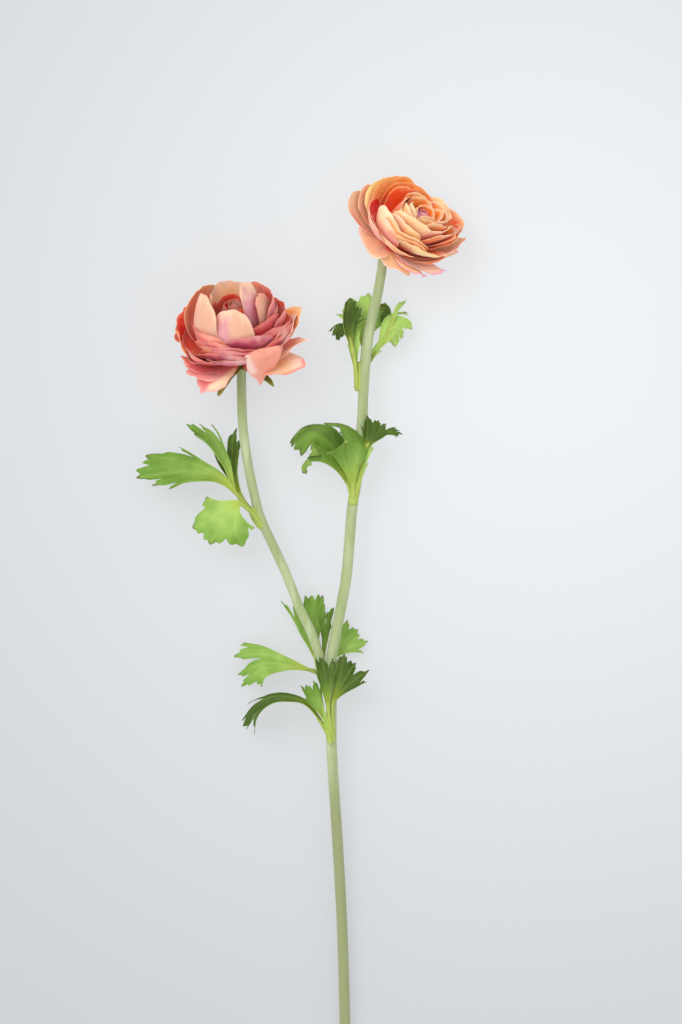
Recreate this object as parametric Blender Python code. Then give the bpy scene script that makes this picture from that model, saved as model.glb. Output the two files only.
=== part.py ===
"""A cut ranunculus stem that forks into two flowers, laid on a flat surface.

Sizes and places in this file are in millimetres. The surface is z = 0, +Y runs up the stem and +Z points
away from the surface. Places are measured from the point on the surface below the fork's leaf node, and
CENTRE slides the finished flower so that its box is centred over the origin.
"""

import math
from collections import namedtuple

import bmesh
import bpy
import numpy as np

MM = 0.001
CENTRE = (15.39, -44.84, 0.0)

# ---------------------------------------------------------------------------------------------------------
# Driving dimensions
# ---------------------------------------------------------------------------------------------------------
STEM_SIDES = 10
STEM_RADIUS = 2.7
BRANCH_RADIUS = 2.45
LEAF_THICKNESS = 0.8
PETAL_THICKNESS = 0.62
SEPAL_THICKNESS = 0.8
CLEARANCE = 0.35
TOOTH = 0.13  # the depth of a leaf's notches, as a share of its length
LEAN = 0.14  # each petal of a ring has one edge under its neighbour and one over

# Centre lines, from the cut end to under each flower.
MAIN_STEM = (
    (8.3, -187.5, 2.57),
    (7.5, -144.5, 4.6),
    (6.5, -107.5, 6.2),
    (4.8, -70.0, 7.8),
    (2.8, -37.5, 9.2),
    (0.8, -5.0, 10.4),
    (0.8, 17.5, 11.2),
    (1.0, 40.0, 11.9),
    (5.6, 64.5, 12.6),
    (8.5, 82.5, 13.0),
    (11.0, 113.0, 13.6),
    (13.5, 129.0, 13.8),
    (16.0, 157.0, 14.0),
    (16.5, 168.7, 14.0),
    (17.6, 184.7, 14.0),
    (19.4, 200.6, 14.0),
    (22.8, 215.8, 13.8),
    (25.4, 229.5, 13.6),
    (26.76, 239.3, 14.42),
    (28.65, 241.75, 16.34),
)
ROSE_BRANCH = (
    (0.8, 11.0, 11.0),
    (-1.4, 24.0, 11.6),
    (-5.2, 40.0, 12.4),
    (-9.5, 52.2, 13.0),
    (-15.3, 64.3, 13.5),
    (-22.5, 82.5, 14.0),
    (-34.0, 107.5, 14.6),
    (-37.2, 118.7, 14.8),
    (-40.6, 135.0, 15.2),
    (-43.0, 152.5, 15.8),
    (-43.7, 167.5, 16.4),
    (-43.84, 180.84, 17.75),
    (-44.22, 183.95, 19.64),
)

Bloom = namedtuple("Bloom", "name base axis tilt rings singles core seed")
Ring = namedtuple("Ring", "count turn reach height half_width cup rounding ruffle")
Petal = namedtuple("Petal", "azimuth profile half_width cup rounding ruffle point phase")


def unit(vector):
    vector = np.asarray(vector, float)
    return vector / np.linalg.norm(vector)


# Each petal's middle line is a curve in the half plane of radius and height above the flower's base, held by
# four points: root, belly, shoulder and tip. A ring's reach and height are those of its petals' tips, and
# tilt is how much higher the tips are at the back. Singles are the petals placed one by one.
ROSE = Bloom(
    name="rose",
    base=(-44.6, 187.1, 21.49),
    axis=(-0.104, 0.857, 0.5),
    tilt=2.5,
    rings=(
        Ring(3, 20, 2.5, 25.0, 5.0, 5.0, 0.30, 0.2),
        Ring(3, 65, 6.0, 30.0, 9.0, 8.0, 0.22, 0.4),
        Ring(4, 12, 10.0, 33.0, 11.0, 12.0, 0.22, 0.5),
        Ring(5, 24, 22.5, 26.5, 16.5, 20.0, 0.10, 0.6),
        Ring(5, -14, 25.0, 22.0, 17.5, 23.0, 0.10, 0.7),
        Ring(5, 18, 27.0, 17.0, 18.5, 26.0, 0.10, 0.8),
    ),
    singles=(
        Petal(-12, ((4, 4), (18, 4), (17, 24), (11, 35.0)), 8.5, 16, 0.10, 0.3, 0.0, 0.5),
        Petal(-70, ((4, 4), (20, 2), (22, 23), (15, 36.5)), 14, 16, 0.16, 0.4, 0.0, 1.0),
        Petal(45, ((4, 4), (17, 4), (17, 24), (12, 38.0)), 10, 14, 0.22, 0.8, 0.05, 2.0),
        Petal(90, ((4, 4), (18, 3), (19, 23), (15, 36.5)), 12, 16, 0.20, 0.6, 0.0, 0.2),
        Petal(148, ((4, 4), (19, 3), (20, 22), (16, 37.0)), 15, 17, 0.16, 0.6, 0.0, 2.7),
        Petal(-142, ((4, 4), (19, 3), (21, 21), (17, 36.0)), 16, 18, 0.16, 0.6, 0.0, 1.3),
        Petal(-42, ((3, 1.0), (13, 2), (23, 1), (31, -4)), 11, -40, 0.30, 1.2, 0.10, 0.4),
        Petal(-78, ((3, 1.2), (13, 0), (22, 4), (27, 9)), 12, 60, 0.30, 0.9, 0.14, 1.7),
        Petal(22, ((3, 0.8), (10, 2), (18, 0), (23, -4)), 10, -30, 0.30, 1.2, 0.06, 2.6),
        Petal(52, ((3, 1.2), (13, 0), (24, 1), (34, -1)), 11, 60, 0.30, 1.3, 0.12, 0.9),
        Petal(74, ((3, 1.4), (14, 0), (23, 3), (32, 5)), 11, 50, 0.30, 1.2, 0.12, 3.1),
        Petal(95, ((3.5, 2.0), (18, -1), (30, 8), (33, 19)), 13, 30, 0.25, 0.8, 0.08, 2.0),
        Petal(-145, ((3, 1.2), (14, -2), (23, 1), (25, 9)), 15, 40, 0.25, 0.6, 0.0, 1.2),
        Petal(150, ((3, 1.2), (14, -2), (23, 1), (25, 9)), 15, 40, 0.25, 0.6, 0.0, 0.3),
    ),
    core=((0, -1.0), (3.2, -1.0), (11.0, 0.6), (18.0, 4.5), (18.5, 10.5), (13.0, 18.0), (0, 20.5)),
    seed=11,
)
PEACH = Bloom(
    name="peach",
    base=(30.6, 244.2, 18.29),
    axis=(0.526, 0.666, 0.53),
    tilt=5.5,
    rings=(
        Ring(3, 10, 2.5, 24.0, 5.0, 5.0, 0.30, 0.2),
        Ring(3, 50, 6.0, 26.5, 8.5, 8.0, 0.22, 0.4),
        Ring(4, 15, 10.0, 27.5, 10.0, 12.0, 0.22, 0.5),
        Ring(5, -22, 15.0, 27.5, 13.0, 16.0, 0.18, 0.6),
        Ring(5, 12, 20.5, 23.5, 14.5, 20.0, 0.20, 0.7),
        Ring(5, -20, 25.0, 18.5, 15.5, 24.0, 0.22, 0.8),
    ),
    singles=(
        Petal(-100, ((3, 1.2), (15, -1), (28, 4), (33, 15)), 9, 20, 0.35, 0.5, 0.0, 0.8),
        Petal(-62, ((3, 1.0), (12, 0), (20, 0), (24, 0)), 10, 40, 0.35, 0.7, 0.0, 1.9),
        Petal(-28, ((3, 1.0), (11, 0), (17, -2), (22, -3)), 10, -40, 0.25, 0.9, 0.0, 0.2),
        Petal(8, ((3, 1.0), (8, 1), (13, -2), (15, -4.5)), 9, -30, 0.22, 0.9, 0.06, 2.4),
        Petal(50, ((3, 1.0), (11, 0), (19, 0), (24, 3)), 9, 40, 0.30, 0.8, 0.10, 1.1),
        Petal(80, ((3, 1.2), (13, 0), (23, 5), (27, 13)), 11, 30, 0.28, 0.8, 0.0, 3.0),
        Petal(106, ((3.5, 1.5), (16, -2), (28, 8), (29, 22)), 13, 26, 0.25, 0.7, 0.06, 2.2),
        Petal(165, ((3, 1.2), (14, -2), (23, 1), (24, 9)), 13, 40, 0.30, 0.5, 0.0, 0.6),
        Petal(-150, ((3, 1.2), (14, -2), (24, 2), (26, 12)), 13, 40, 0.30, 0.5, 0.0, 1.5),
    ),
    core=((0, -1.0), (3.2, -1.0), (10.0, 0.6), (15.5, 4.5), (16.0, 9.5), (11.5, 16.5), (0, 19.0)),
    seed=23,
)

# A leaf blade is a fan that opens from the end of its stalk. spine holds the stalk's and the middle lobe's
# centre line, stalk is the share of it without a blade, spread is the fan's half angle and face is the way
# that its upper side looks.
Leaf = namedtuple("Leaf", "spine stalk spread side face fold cup wave")
LeafNode = namedtuple("LeafNode", "name sheath sheath_radius leaves")
LEAF_NODES = (
    LeafNode(
        "leaf_rose_branch",
        ((-33.4, 103.5, 15.0), (-36.6, 108.5, 15.6), (-38.8, 113.5, 16.0)),
        2.4,
        (
            Leaf(((-36.0, 107.5, 16.0), (-45.5, 119.5, 18.0), (-53.5, 127.5, 19.0), (-64.0, 131.0, 18.0),
                  (-77.0, 132.0, 16.0), (-98.5, 130.5, 14.0)), 0.24, 25, 0.78, (0.1, 0.45, 0.9), 10, 30, 0.8),
            Leaf(((-36.5, 108.5, 15.4), (-46.5, 121.0, 16.5), (-52.0, 134.5, 16.0), (-60.5, 146.0, 13.5),
                  (-71.0, 154.5, 12.0)), 0.30, 17, 0.85, (0.5, 0.3, 0.8), 35, 14, 0.4),
            Leaf(((-37.0, 110.0, 14.6), (-43.0, 117.5, 13.0), (-47.3, 128.0, 11.0), (-48.6, 138.0, 9.5),
                  (-47.4, 152.5, 9.0)), 0.28, 27, 0.75, (-0.5, 0.1, 0.85), 25, 18, 0.6),
            Leaf(((-36.0, 107.5, 17.0), (-40.0, 112.5, 21.0), (-45.5, 115.5, 24.0), (-51.0, 109.0, 25.5),
                  (-58.0, 92.5, 22.0)), 0.30, 62, 0.58, (0.1, 0.3, 0.95), 8, -34, 0.8),
        ),
    ),
    LeafNode(
        "leaf_peach_high",
        ((14.2, 171.5, 13.6), (14.8, 178.5, 13.0), (15.6, 186.0, 12.6)),
        2.8,
        (
            Leaf(((13.4, 173.5, 15.0), (12.0, 186.0, 16.2), (9.5, 197.0, 17.5), (6.5, 206.0, 19.0),
                  (8.0, 218.5, 16.0)), 0.26, 44, 0.7, (0.7, -0.1, 0.6), 25, 12, 0.8),
            Leaf(((15.0, 176.0, 11.4), (16.4, 190.0, 9.8), (17.2, 203.0, 9.2), (18.2, 214.0, 9.0),
                  (22.5, 221.5, 8.6)), 0.30, 34, 0.8, (0.0, -0.2, 1.0), 10, -22, 0.8),
            Leaf(((15.2, 176.0, 10.9), (17.6, 185.5, 9.9), (23.0, 194.5, 11.6), (31.0, 204.0, 13.6),
                  (38.0, 217.5, 13.0)), 0.34, 42, 0.78, (-0.3, 0.2, 0.9), 30, 16, 0.7),
        ),
    ),
    LeafNode(
        "leaf_peach_low",
        ((11.2, 115.0, 15.4), (12.0, 121.0, 15.8), (12.6, 127.5, 16.2)),
        2.5,
        (
            Leaf(((11.0, 119.0, 16.6), (6.0, 134.0, 17.5), (-1.0, 145.0, 19.5), (-9.0, 149.0, 19.5),
                  (-18.0, 138.0, 17.0)), 0.12, 36, 0.75, (-0.1, 0.75, 0.6), 12, -16, 0.8),
            Leaf(((11.6, 119.0, 17.6), (10.5, 133.0, 21.0), (9.5, 145.0, 24.0), (6.0, 151.5, 27.0),
                  (1.5, 152.0, 31.0)), 0.12, 38, 0.8, (0.0, 0.85, 0.5), 15, -14, 0.8),
            Leaf(((13.0, 119.0, 16.6), (16.8, 136.0, 18.6), (20.0, 147.0, 20.0), (27.0, 152.5, 18.5),
                  (36.0, 151.5, 16.5)), 0.12, 36, 0.8, (0.0, -0.7, 0.7), 25, 16, 0.7),
        ),
    ),
    LeafNode(
        "leaf_fork_high",
        ((-4.2, 29.5, 7.9), (-5.4, 35.0, 7.9), (-6.8, 41.0, 7.9)),
        1.9,
        (
            Leaf(((-4.4, 31.0, 8.2), (-13.5, 34.0, 11.0), (-22.0, 36.0, 12.5), (-35.0, 36.5, 11.0),
                  (-48.5, 31.0, 9.0)), 0.16, 24, 0.82, (0.1, 0.35, 0.93), 10, -30, 0.7),
            Leaf(((-4.8, 31.5, 7.4), (-8.5, 42.5, 6.8), (-10.5, 54.0, 6.4), (-8.0, 64.0, 6.0),
                  (-2.5, 74.0, 5.6)), 0.12, 29, 0.85, (0.2, -0.1, 0.95), 15, -30, 0.6),
            Leaf(((-4.0, 32.5, 7.0), (-2.5, 44.0, 5.6), (-1.0, 54.0, 5.0), (1.2, 65.5, 4.4)),
                 0.20, 17, 0.7, (-0.6, 0.0, 0.8), 30, 18, 0.4),
            Leaf(((-3.6, 31.5, 6.8), (3.0, 39.5, 4.8), (8.5, 49.0, 4.4), (13.5, 60.0, 4.2)),
                 0.26, 44, 0.8, (0.0, 0.15, 1.0), 8, -30, 0.6),
        ),
    ),
    LeafNode(
        "leaf_fork_low",
        ((0.6, -3.0, 12.2), (0.2, 3.0, 12.8), (-0.4, 9.5, 13.2)),
        2.5,
        (
            Leaf(((-0.6, 1.0, 13.0), (-6.5, 10.0, 14.5), (-14.0, 15.5, 16.5), (-26.0, 16.5, 17.0),
                  (-46.0, 7.5, 12.0)), 0.18, 26, 0.8, (-0.1, 0.9, 0.5), 15, -24, 0.8),
            Leaf(((-0.4, 1.0, 13.8), (-3.0, 10.5, 17.0), (-6.5, 19.0, 20.0), (-13.0, 28.5, 21.5)),
                 0.16, 34, 0.85, (0.4, 0.4, 0.8), 15, 20, 0.7),
            Leaf(((0.4, 1.0, 14.4), (-0.6, 13.0, 17.6), (-1.5, 26.0, 20.0), (-4.0, 40.0, 19.5)),
                 0.14, 25, 0.8, (0.3, -0.2, 0.9), 30, 14, 0.7),
            Leaf(((1.2, 1.0, 14.0), (2.5, 11.0, 16.5), (7.0, 23.0, 18.5), (14.5, 38.0, 18.0)),
                 0.14, 40, 0.85, (-0.3, 0.1, 0.95), 18, 18, 0.8),
        ),
    ),
)
# Each sepal's azimuth, reach and drop below the flower's base.
SEPALS = {
    "rose": ((-28, 21, 8.5), (42, 23, 8.0), (112, 14, 4.5), (-178, 11, 4.5), (-102, 14, 4.5)),
    "peach": ((-78, 11, 2.6), (62, 11, 2.8), (128, 13, 4.0), (178, 11, 4.0), (-132, 12, 4.0)),
}


# ---------------------------------------------------------------------------------------------------------
# Curves and grids
# ---------------------------------------------------------------------------------------------------------
def smooth_path(points, per_span):
    """Points along a Catmull-Rom curve through the given ones."""
    knots = np.asarray(points, float)
    knots = np.vstack([2 * knots[0] - knots[1], knots, 2 * knots[-1] - knots[-2]])
    path = []
    for a, b, c, d in zip(knots, knots[1:], knots[2:], knots[3:]):
        for t in np.arange(per_span) / per_span:
            path.append(
                0.5 * (2 * b + (c - a) * t + (2 * a - 5 * b + 4 * c - d) * t**2
                       + (3 * b - a - 3 * c + d) * t**3)
            )
    return np.array(path + [knots[-2]])


def arc_lengths(path):
    steps = np.linalg.norm(np.diff(path, axis=0), axis=1)
    return np.concatenate([[0.0], np.cumsum(steps)])


def along(path, lengths, distance):
    """Places at the given distances along a path, run on straight past its end."""
    distance = np.asarray(distance, float)
    places = np.stack([np.interp(distance, lengths, path[:, k]) for k in range(path.shape[1])], axis=-1)
    past = np.maximum(distance - lengths[-1], 0.0)[..., None]
    return places + past * unit(path[-1] - path[-2])


def bezier(controls, t):
    t = np.asarray(t, float)[:, None]
    a, b, c, d = np.asarray(controls, float)
    return a * (1 - t) ** 3 + 3 * b * t * (1 - t) ** 2 + 3 * c * t**2 * (1 - t) + d * t**3


def grid_normals(grid):
    """Unit normals of a grid of points, from the differences to its neighbours."""
    across = np.cross(np.gradient(grid, axis=0), np.gradient(grid, axis=1))
    return across / np.maximum(np.linalg.norm(across, axis=2, keepdims=True), 1e-9)


# ---------------------------------------------------------------------------------------------------------
# Closed meshes
# ---------------------------------------------------------------------------------------------------------
def signed_volume(points, faces):
    total = 0.0
    for face in faces:
        for b, c in zip(face[1:], face[2:]):
            total += np.dot(points[face[0]], np.cross(points[b], points[c]))
    return total


def make_object(name, points, faces, collection=None):
    """A mesh object of these points in millimetres, its faces turned to point out."""
    points = np.asarray(points, float)
    if signed_volume(points - points.mean(axis=0), faces) < 0:
        faces = [face[::-1] for face in faces]
    mesh = bpy.data.meshes.new(name)
    mesh.from_pydata([tuple(p) for p in (points + CENTRE) * MM], [], faces)
    mesh.validate()
    made = bpy.data.objects.new(name, mesh)
    (collection or bpy.context.scene.collection).objects.link(made)
    return made


def slab(name, grid, thickness, collection):
    """A grid of points given a thickness. Both faces are split into the same triangles."""
    rows, columns = grid.shape[:2]
    offset = grid_normals(grid) * thickness / 2
    points = np.concatenate([(grid + offset).reshape(-1, 3), (grid - offset).reshape(-1, 3)])
    count = rows * columns
    faces = []
    for i in range(rows - 1):
        for j in range(columns - 1):
            a, b = i * columns + j, i * columns + j + 1
            c, d = b + columns, a + columns
            faces += [(a, b, c), (a, c, d), (count + c, count + b, count + a), (count + d, count + c, count + a)]
    rim = [j for j in range(columns)]
    rim += [i * columns + columns - 1 for i in range(1, rows)]
    rim += [(rows - 1) * columns + j for j in range(columns - 2, -1, -1)]
    rim += [i * columns for i in range(rows - 2, 0, -1)]
    for a, b in zip(rim, rim[1:] + rim[:1]):
        faces += [(b, a, count + a), (b, count + a, count + b)]
    return make_object(name, points, faces, collection)


def tube(name, path, radii, sides, collection=None):
    """A closed tube along a path, its rings carried along with no twist."""
    path = np.asarray(path, float)
    tangents = np.gradient(path, axis=0)
    side = unit(np.cross(tangents[0], (0, 0, 1)))
    points, faces = [], []
    for centre, tangent, radius in zip(path, tangents, radii):
        tangent = unit(tangent)
        side = unit(side - tangent * np.dot(side, tangent))
        up = np.cross(side, tangent)
        for k in range(sides):
            turn = math.tau * k / sides
            points.append(centre + radius * (side * math.cos(turn) + up * math.sin(turn)))
    for i in range(len(path) - 1):
        for k in range(sides):
            a, b = i * sides + k, i * sides + (k + 1) % sides
            faces += [(a, b, b + sides), (a, b + sides, a + sides)]
    last = (len(path) - 1) * sides
    faces += [tuple(range(sides))[::-1], tuple(range(last, last + sides))]
    return make_object(name, points, faces, collection)


def joined(name, pieces, solver="EXACT"):
    """One object made from a collection of overlapping closed pieces by a Boolean union."""
    base, others = pieces[0], pieces[1:]
    bundle = bpy.data.collections.new(name + "_pieces")
    for piece in others:
        bundle.objects.link(piece)
    union = base.modifiers.new("union", "BOOLEAN")
    union.operation = "UNION"
    union.operand_type = "COLLECTION"
    union.collection = bundle
    union.solver = solver
    result = applied(name, base)
    for piece in pieces:
        bpy.data.objects.remove(piece)
    bpy.data.collections.remove(bundle)
    return result


def cleared(name, base, cutter):
    """The object with the cutter's room taken out of it."""
    cut = base.modifiers.new("room", "BOOLEAN")
    cut.operation = "DIFFERENCE"
    cut.object = cutter
    cut.solver = "MANIFOLD"
    result = applied(name, base)
    bpy.data.objects.remove(base)
    return result


def applied(name, source):
    bpy.context.view_layer.update()
    graph = bpy.context.evaluated_depsgraph_get()
    mesh = bpy.data.meshes.new_from_object(source.evaluated_get(graph))
    fill_pockets(mesh)
    source.name = name + "_raw"
    made = bpy.data.objects.new(name, mesh)
    bpy.context.scene.collection.objects.link(made)
    return made


def fill_pockets(mesh):
    """Removes the inner shells of pockets that crossing petals have sealed, which leaves them solid."""
    work = bmesh.new()
    work.from_mesh(mesh)
    unseen = set(work.faces)
    while unseen:
        shell, edge = set(), [unseen.pop()]
        while edge:
            face = edge.pop()
            shell.add(face)
            for line in face.edges:
                for other in line.link_faces:
                    if other in unseen:
                        unseen.remove(other)
                        edge.append(other)
        volume = sum(
            np.dot(face.verts[0].co, np.cross(b.co, c.co))
            for face in shell
            for b, c in zip(face.verts[1:], face.verts[2:])
        )
        if volume < 0:
            bmesh.ops.delete(work, geom=list(shell), context="FACES")
    work.to_mesh(mesh)
    work.free()


# ---------------------------------------------------------------------------------------------------------
# Petals
# ---------------------------------------------------------------------------------------------------------
def petal_grid(petal, rows, columns):
    """The middle surface of one petal, round an upright flower whose base is at the origin."""
    u = np.linspace(0, 1, rows + 1)[:, None]
    v = np.linspace(-1, 1, columns + 1)[None, :]
    crest = 1 - petal.rounding * np.abs(v) ** 2.3 + petal.point * np.exp(-((v / 0.22) ** 2))
    claw = 0.32
    width = petal.half_width * (claw + (1 - claw) * np.sin(np.pi / 2 * np.clip(u / 0.72, 0, 1)) ** 1.2)
    middle = bezier(petal.profile, np.linspace(0, 1, 41))
    lengths = arc_lengths(middle)
    travel = u * crest * lengths[-1]
    centre = along(middle, lengths, travel)
    ahead = along(middle, lengths, travel + 0.2)
    tangent = (ahead - centre) / 0.2
    turn = v * width / petal.cup
    sideways = petal.cup * np.sin(turn)
    rise = petal.cup * (1 - np.cos(turn))
    rise = rise + petal.ruffle * u**2 * np.sin(2.6 * v * np.pi / 2 + petal.phase)
    lean = LEAN * sideways * np.clip(u * 2, 0, 1)
    radius = centre[..., 0] - tangent[..., 1] * rise + lean
    height = centre[..., 1] + tangent[..., 0] * rise
    azimuth = math.radians(petal.azimuth)
    out = np.array([math.sin(azimuth), math.cos(azimuth), 0.0])
    beside = np.array([math.cos(azimuth), -math.sin(azimuth), 0.0])
    return radius[..., None] * out + sideways[..., None] * beside + height[..., None] * np.array([0, 0, 1.0])


def ring_petals(bloom):
    """The rings of cupped petals from the heart outwards, each petal a little different."""
    random = np.random.RandomState(bloom.seed)
    petals = []
    for ring in bloom.rings:
        for k in range(ring.count):
            azimuth = ring.turn + 360 * k / ring.count + random.uniform(-5, 5)
            lift = -bloom.tilt * math.cos(math.radians(azimuth)) * ring.reach / 25
            reach = ring.reach * random.uniform(0.94, 1.06)
            height = (ring.height + lift) * random.uniform(0.97, 1.03)
            root = (1.5 + 0.08 * reach, max(1.2, 9.0 - 0.45 * reach))
            belly = (reach + 3.0, root[1] - 3.0)
            shoulder = (reach * 1.06 + 2.4, height * 0.62)
            petals.append(
                Petal(azimuth, (root, belly, shoulder, (reach, height)), ring.half_width * random.uniform(0.92, 1.08),
                      ring.cup, ring.rounding, ring.ruffle, 0.0, random.uniform(0, math.tau))
            )
    return petals


def flower_axes(bloom):
    """Right, front and axis of a flower, as the rows of a matrix. Front faces away from the surface."""
    axis = unit(bloom.axis)
    front = unit(np.array([0, 0, 1.0]) - axis * axis[2])
    return np.array([np.cross(axis, front), front, axis])


def make_bloom(bloom):
    place = flower_axes(bloom)
    hidden = bpy.context.scene.collection
    turned = []
    for k, petal in enumerate(ring_petals(bloom) + list(bloom.singles)):
        grid = petal_grid(petal, 3, 4 if petal.point else 3) @ place + bloom.base
        turned.append(slab(f"petal_{bloom.name}_{k}", grid, PETAL_THICKNESS, hidden))
    turned.insert(0, make_core(bloom, place))
    return joined("bloom_" + bloom.name, turned)


def make_core(bloom, place):
    """The turned receptacle and heart that the petals' roots are sunk in."""
    sides = 10
    points = [np.array([0, 0, bloom.core[0][1]])]
    for radius, height in bloom.core[1:-1]:
        for k in range(sides):
            turn = math.tau * k / sides
            points.append(np.array([radius * math.cos(turn), radius * math.sin(turn), height]))
    points.append(np.array([0, 0, bloom.core[-1][1]]))
    faces = [(0, 1 + (k + 1) % sides, 1 + k) for k in range(sides)]
    for i in range(len(bloom.core) - 3):
        for k in range(sides):
            a, b = 1 + i * sides + k, 1 + i * sides + (k + 1) % sides
            faces += [(a, b, b + sides), (a, b + sides, a + sides)]
    last = len(points) - 1
    faces += [(last, last - sides + k, last - sides + (k + 1) % sides) for k in range(sides)]
    return make_object("core_" + bloom.name, np.array(points) @ place + bloom.base, faces)


def make_calyx(bloom):
    """Five green sepals bent back from a small disc between the stem and the petals."""
    place = flower_axes(bloom)
    disc = [(0, -2.9), (2.2, -2.9), (3.6, -2.3), (3.6, -1.6), (0, -1.4)]
    core = bloom._replace(core=disc, name="calyx_" + bloom.name)
    pieces = [make_core(core, place)]
    for azimuth, reach, drop in SEPALS[bloom.name]:
        profile = ((1.5, -2.2), (reach * 0.4, -2.0), (reach * 0.75, -1.2 - drop * 0.3), (reach, -drop))
        sepal = Petal(azimuth, profile, 3.0, -6.0, 0.75, 0.0, 0.0, 0.0)
        grid = petal_grid(sepal, 3, 2) @ place + bloom.base
        pieces.append(slab("sepal", grid, SEPAL_THICKNESS, bpy.context.scene.collection))
    return joined("calyx_" + bloom.name, pieces, "MANIFOLD")


# ---------------------------------------------------------------------------------------------------------
# Leaves
# ---------------------------------------------------------------------------------------------------------
def blade_reach(turn, leaf, lobes):
    """How far the fan's edge is from its pole, as a share of its length, at each turn from -1 to 1."""
    envelope = leaf.side + (1 - leaf.side) * np.cos(np.pi / 2 * turn) ** 0.9
    tooth = np.abs(np.cos(np.pi * lobes / 2 * turn))
    return envelope * (1 - TOOTH * (1 - tooth))


def leaf_grid(leaf, rows, columns, lobes):
    path = smooth_path(leaf.spine, 8)
    lengths = arc_lengths(path)
    pole = leaf.stalk * lengths[-1]
    length = lengths[-1] - pole
    t = np.linspace(0, 1, rows + 1)[:, None]
    turn = np.linspace(-1, 1, columns + 1)[None, :]
    angle = turn * math.radians(leaf.spread) * (0.4 + 0.6 * t)
    reach = length * blade_reach(turn, leaf, lobes)
    start = 1.0
    sideways = start * turn * (1 - t) + reach * np.sin(angle) * t
    forward = pole + reach * np.cos(angle) * t * np.ones_like(turn)
    return bend_leaf(leaf, path, lengths, sideways, forward, t)


def bend_leaf(leaf, path, lengths, sideways, forward, t):
    """Carries flat leaf places onto the spine, with the blade's fold, cup and waves."""
    centre = along(path, lengths, np.maximum(forward, 0))
    tangent = along(path, lengths, np.maximum(forward, 0) + 0.5) - centre
    tangent /= np.linalg.norm(tangent, axis=2, keepdims=True)
    beside = np.cross(tangent, unit(leaf.face))
    beside /= np.linalg.norm(beside, axis=2, keepdims=True)
    up = np.cross(beside, tangent)
    bow = sideways / leaf.cup
    flat = leaf.cup * np.sin(bow)
    rise = leaf.cup * (1 - np.cos(bow))
    fold = math.radians(leaf.fold)
    across = flat * math.cos(fold) - np.sign(sideways) * rise * math.sin(fold)
    lift = np.abs(flat) * math.sin(fold) + rise * math.cos(fold)
    lift = lift + leaf.wave * np.sin(sideways * 0.7) * t**2
    return centre + beside * across[..., None] + up * lift[..., None]


def make_leaf_node(node, room):
    sheath = smooth_path(node.sheath, 2)
    radii = np.interp(np.linspace(0, 1, len(sheath)), (0, 0.5, 1), (0.86, 1.0, 0.9)) * node.sheath_radius
    pieces = [tube("sheath", sheath, radii, 8)]
    for leaf in node.leaves:
        path = smooth_path(leaf.spine, 2)
        lengths = arc_lengths(path)
        stalk_end = leaf.stalk * lengths[-1] + 1.0
        stops = np.linspace(0, stalk_end, 4)
        pieces.append(tube("stalk", along(path, lengths, stops), np.linspace(1.2, 0.9, 4), 5))
        grid = leaf_grid(leaf, 3, 8, 4)
        pieces.append(slab("blade", grid, LEAF_THICKNESS, bpy.context.scene.collection))
    whole = joined(node.name + "_whole", pieces, "MANIFOLD")
    return cleared(node.name, whole, room)


# ---------------------------------------------------------------------------------------------------------
# The stem
# ---------------------------------------------------------------------------------------------------------
def stem_pieces(extra, per_span):
    main = smooth_path(MAIN_STEM, per_span)
    share = np.linspace(0, 1, len(main))
    radii = np.interp(share, (0, 0.55, 1), (STEM_RADIUS, STEM_RADIUS, BRANCH_RADIUS)) + extra
    branch = smooth_path(ROSE_BRANCH, per_span)
    swell = np.interp(np.linspace(0, 1, len(branch)), (0, 0.12, 1), (0.8, 1.0, 1.0))
    return [
        tube("stem_main", main, radii, STEM_SIDES),
        tube("stem_rose", branch, swell * BRANCH_RADIUS + extra, STEM_SIDES),
    ]


MATERIALS = {
    "stem": ((0.42, 0.50, 0.27), 0.55),
    "leaf": ((0.22, 0.42, 0.07), 0.50),
    "calyx": ((0.30, 0.34, 0.08), 0.55),
    "bloom_rose": ((0.76, 0.34, 0.29), 0.60),
    "bloom_peach": ((0.90, 0.50, 0.28), 0.60),
}


def paint(made):
    """Gives an object the material whose name starts its own."""
    key = next(k for k in MATERIALS if made.name.startswith(k))
    material = bpy.data.materials.get(key)
    if material is None:
        colour, roughness = MATERIALS[key]
        material = bpy.data.materials.new(key)
        material.use_nodes = True
        shader = material.node_tree.nodes["Principled BSDF"]
        shader.inputs["Base Color"].default_value = (*colour, 1.0)
        shader.inputs["Roughness"].default_value = roughness
        shader.inputs["Metallic"].default_value = 0.0
    made.data.materials.clear()
    made.data.materials.append(material)


def main():
    for old in list(bpy.data.objects):
        bpy.data.objects.remove(old)
    stem = joined("stem", stem_pieces(0.0, 1))
    room = joined("stem_room", stem_pieces(CLEARANCE, 1))
    made = [stem]
    made += [make_leaf_node(node, room) for node in LEAF_NODES]
    made += [make_bloom(bloom) for bloom in (ROSE, PEACH)]
    made += [make_calyx(bloom) for bloom in (ROSE, PEACH)]
    bpy.data.objects.remove(room)
    for piece in made:
        paint(piece)


main()
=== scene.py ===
# %% [markdown]
# # A forked ranunculus spray in silk
#
# A florist's silk ranunculus is put together from few kinds of part: a moulded stem with a flocked skin, leaf
# groups clipped round the stem on small sheaths, a calyx under each flower, and the flowers, whose petals are
# stamped from dyed cloth and pressed into cups. Each of these gets its own cells here.
#
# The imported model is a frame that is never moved. Its solids have the right sizes but plain faces, so every
# piece below is a finer version of one of them and stands in its place.

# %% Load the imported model
import math
from collections import namedtuple

import bpy
import numpy as np
from mathutils import Matrix, Vector


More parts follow.
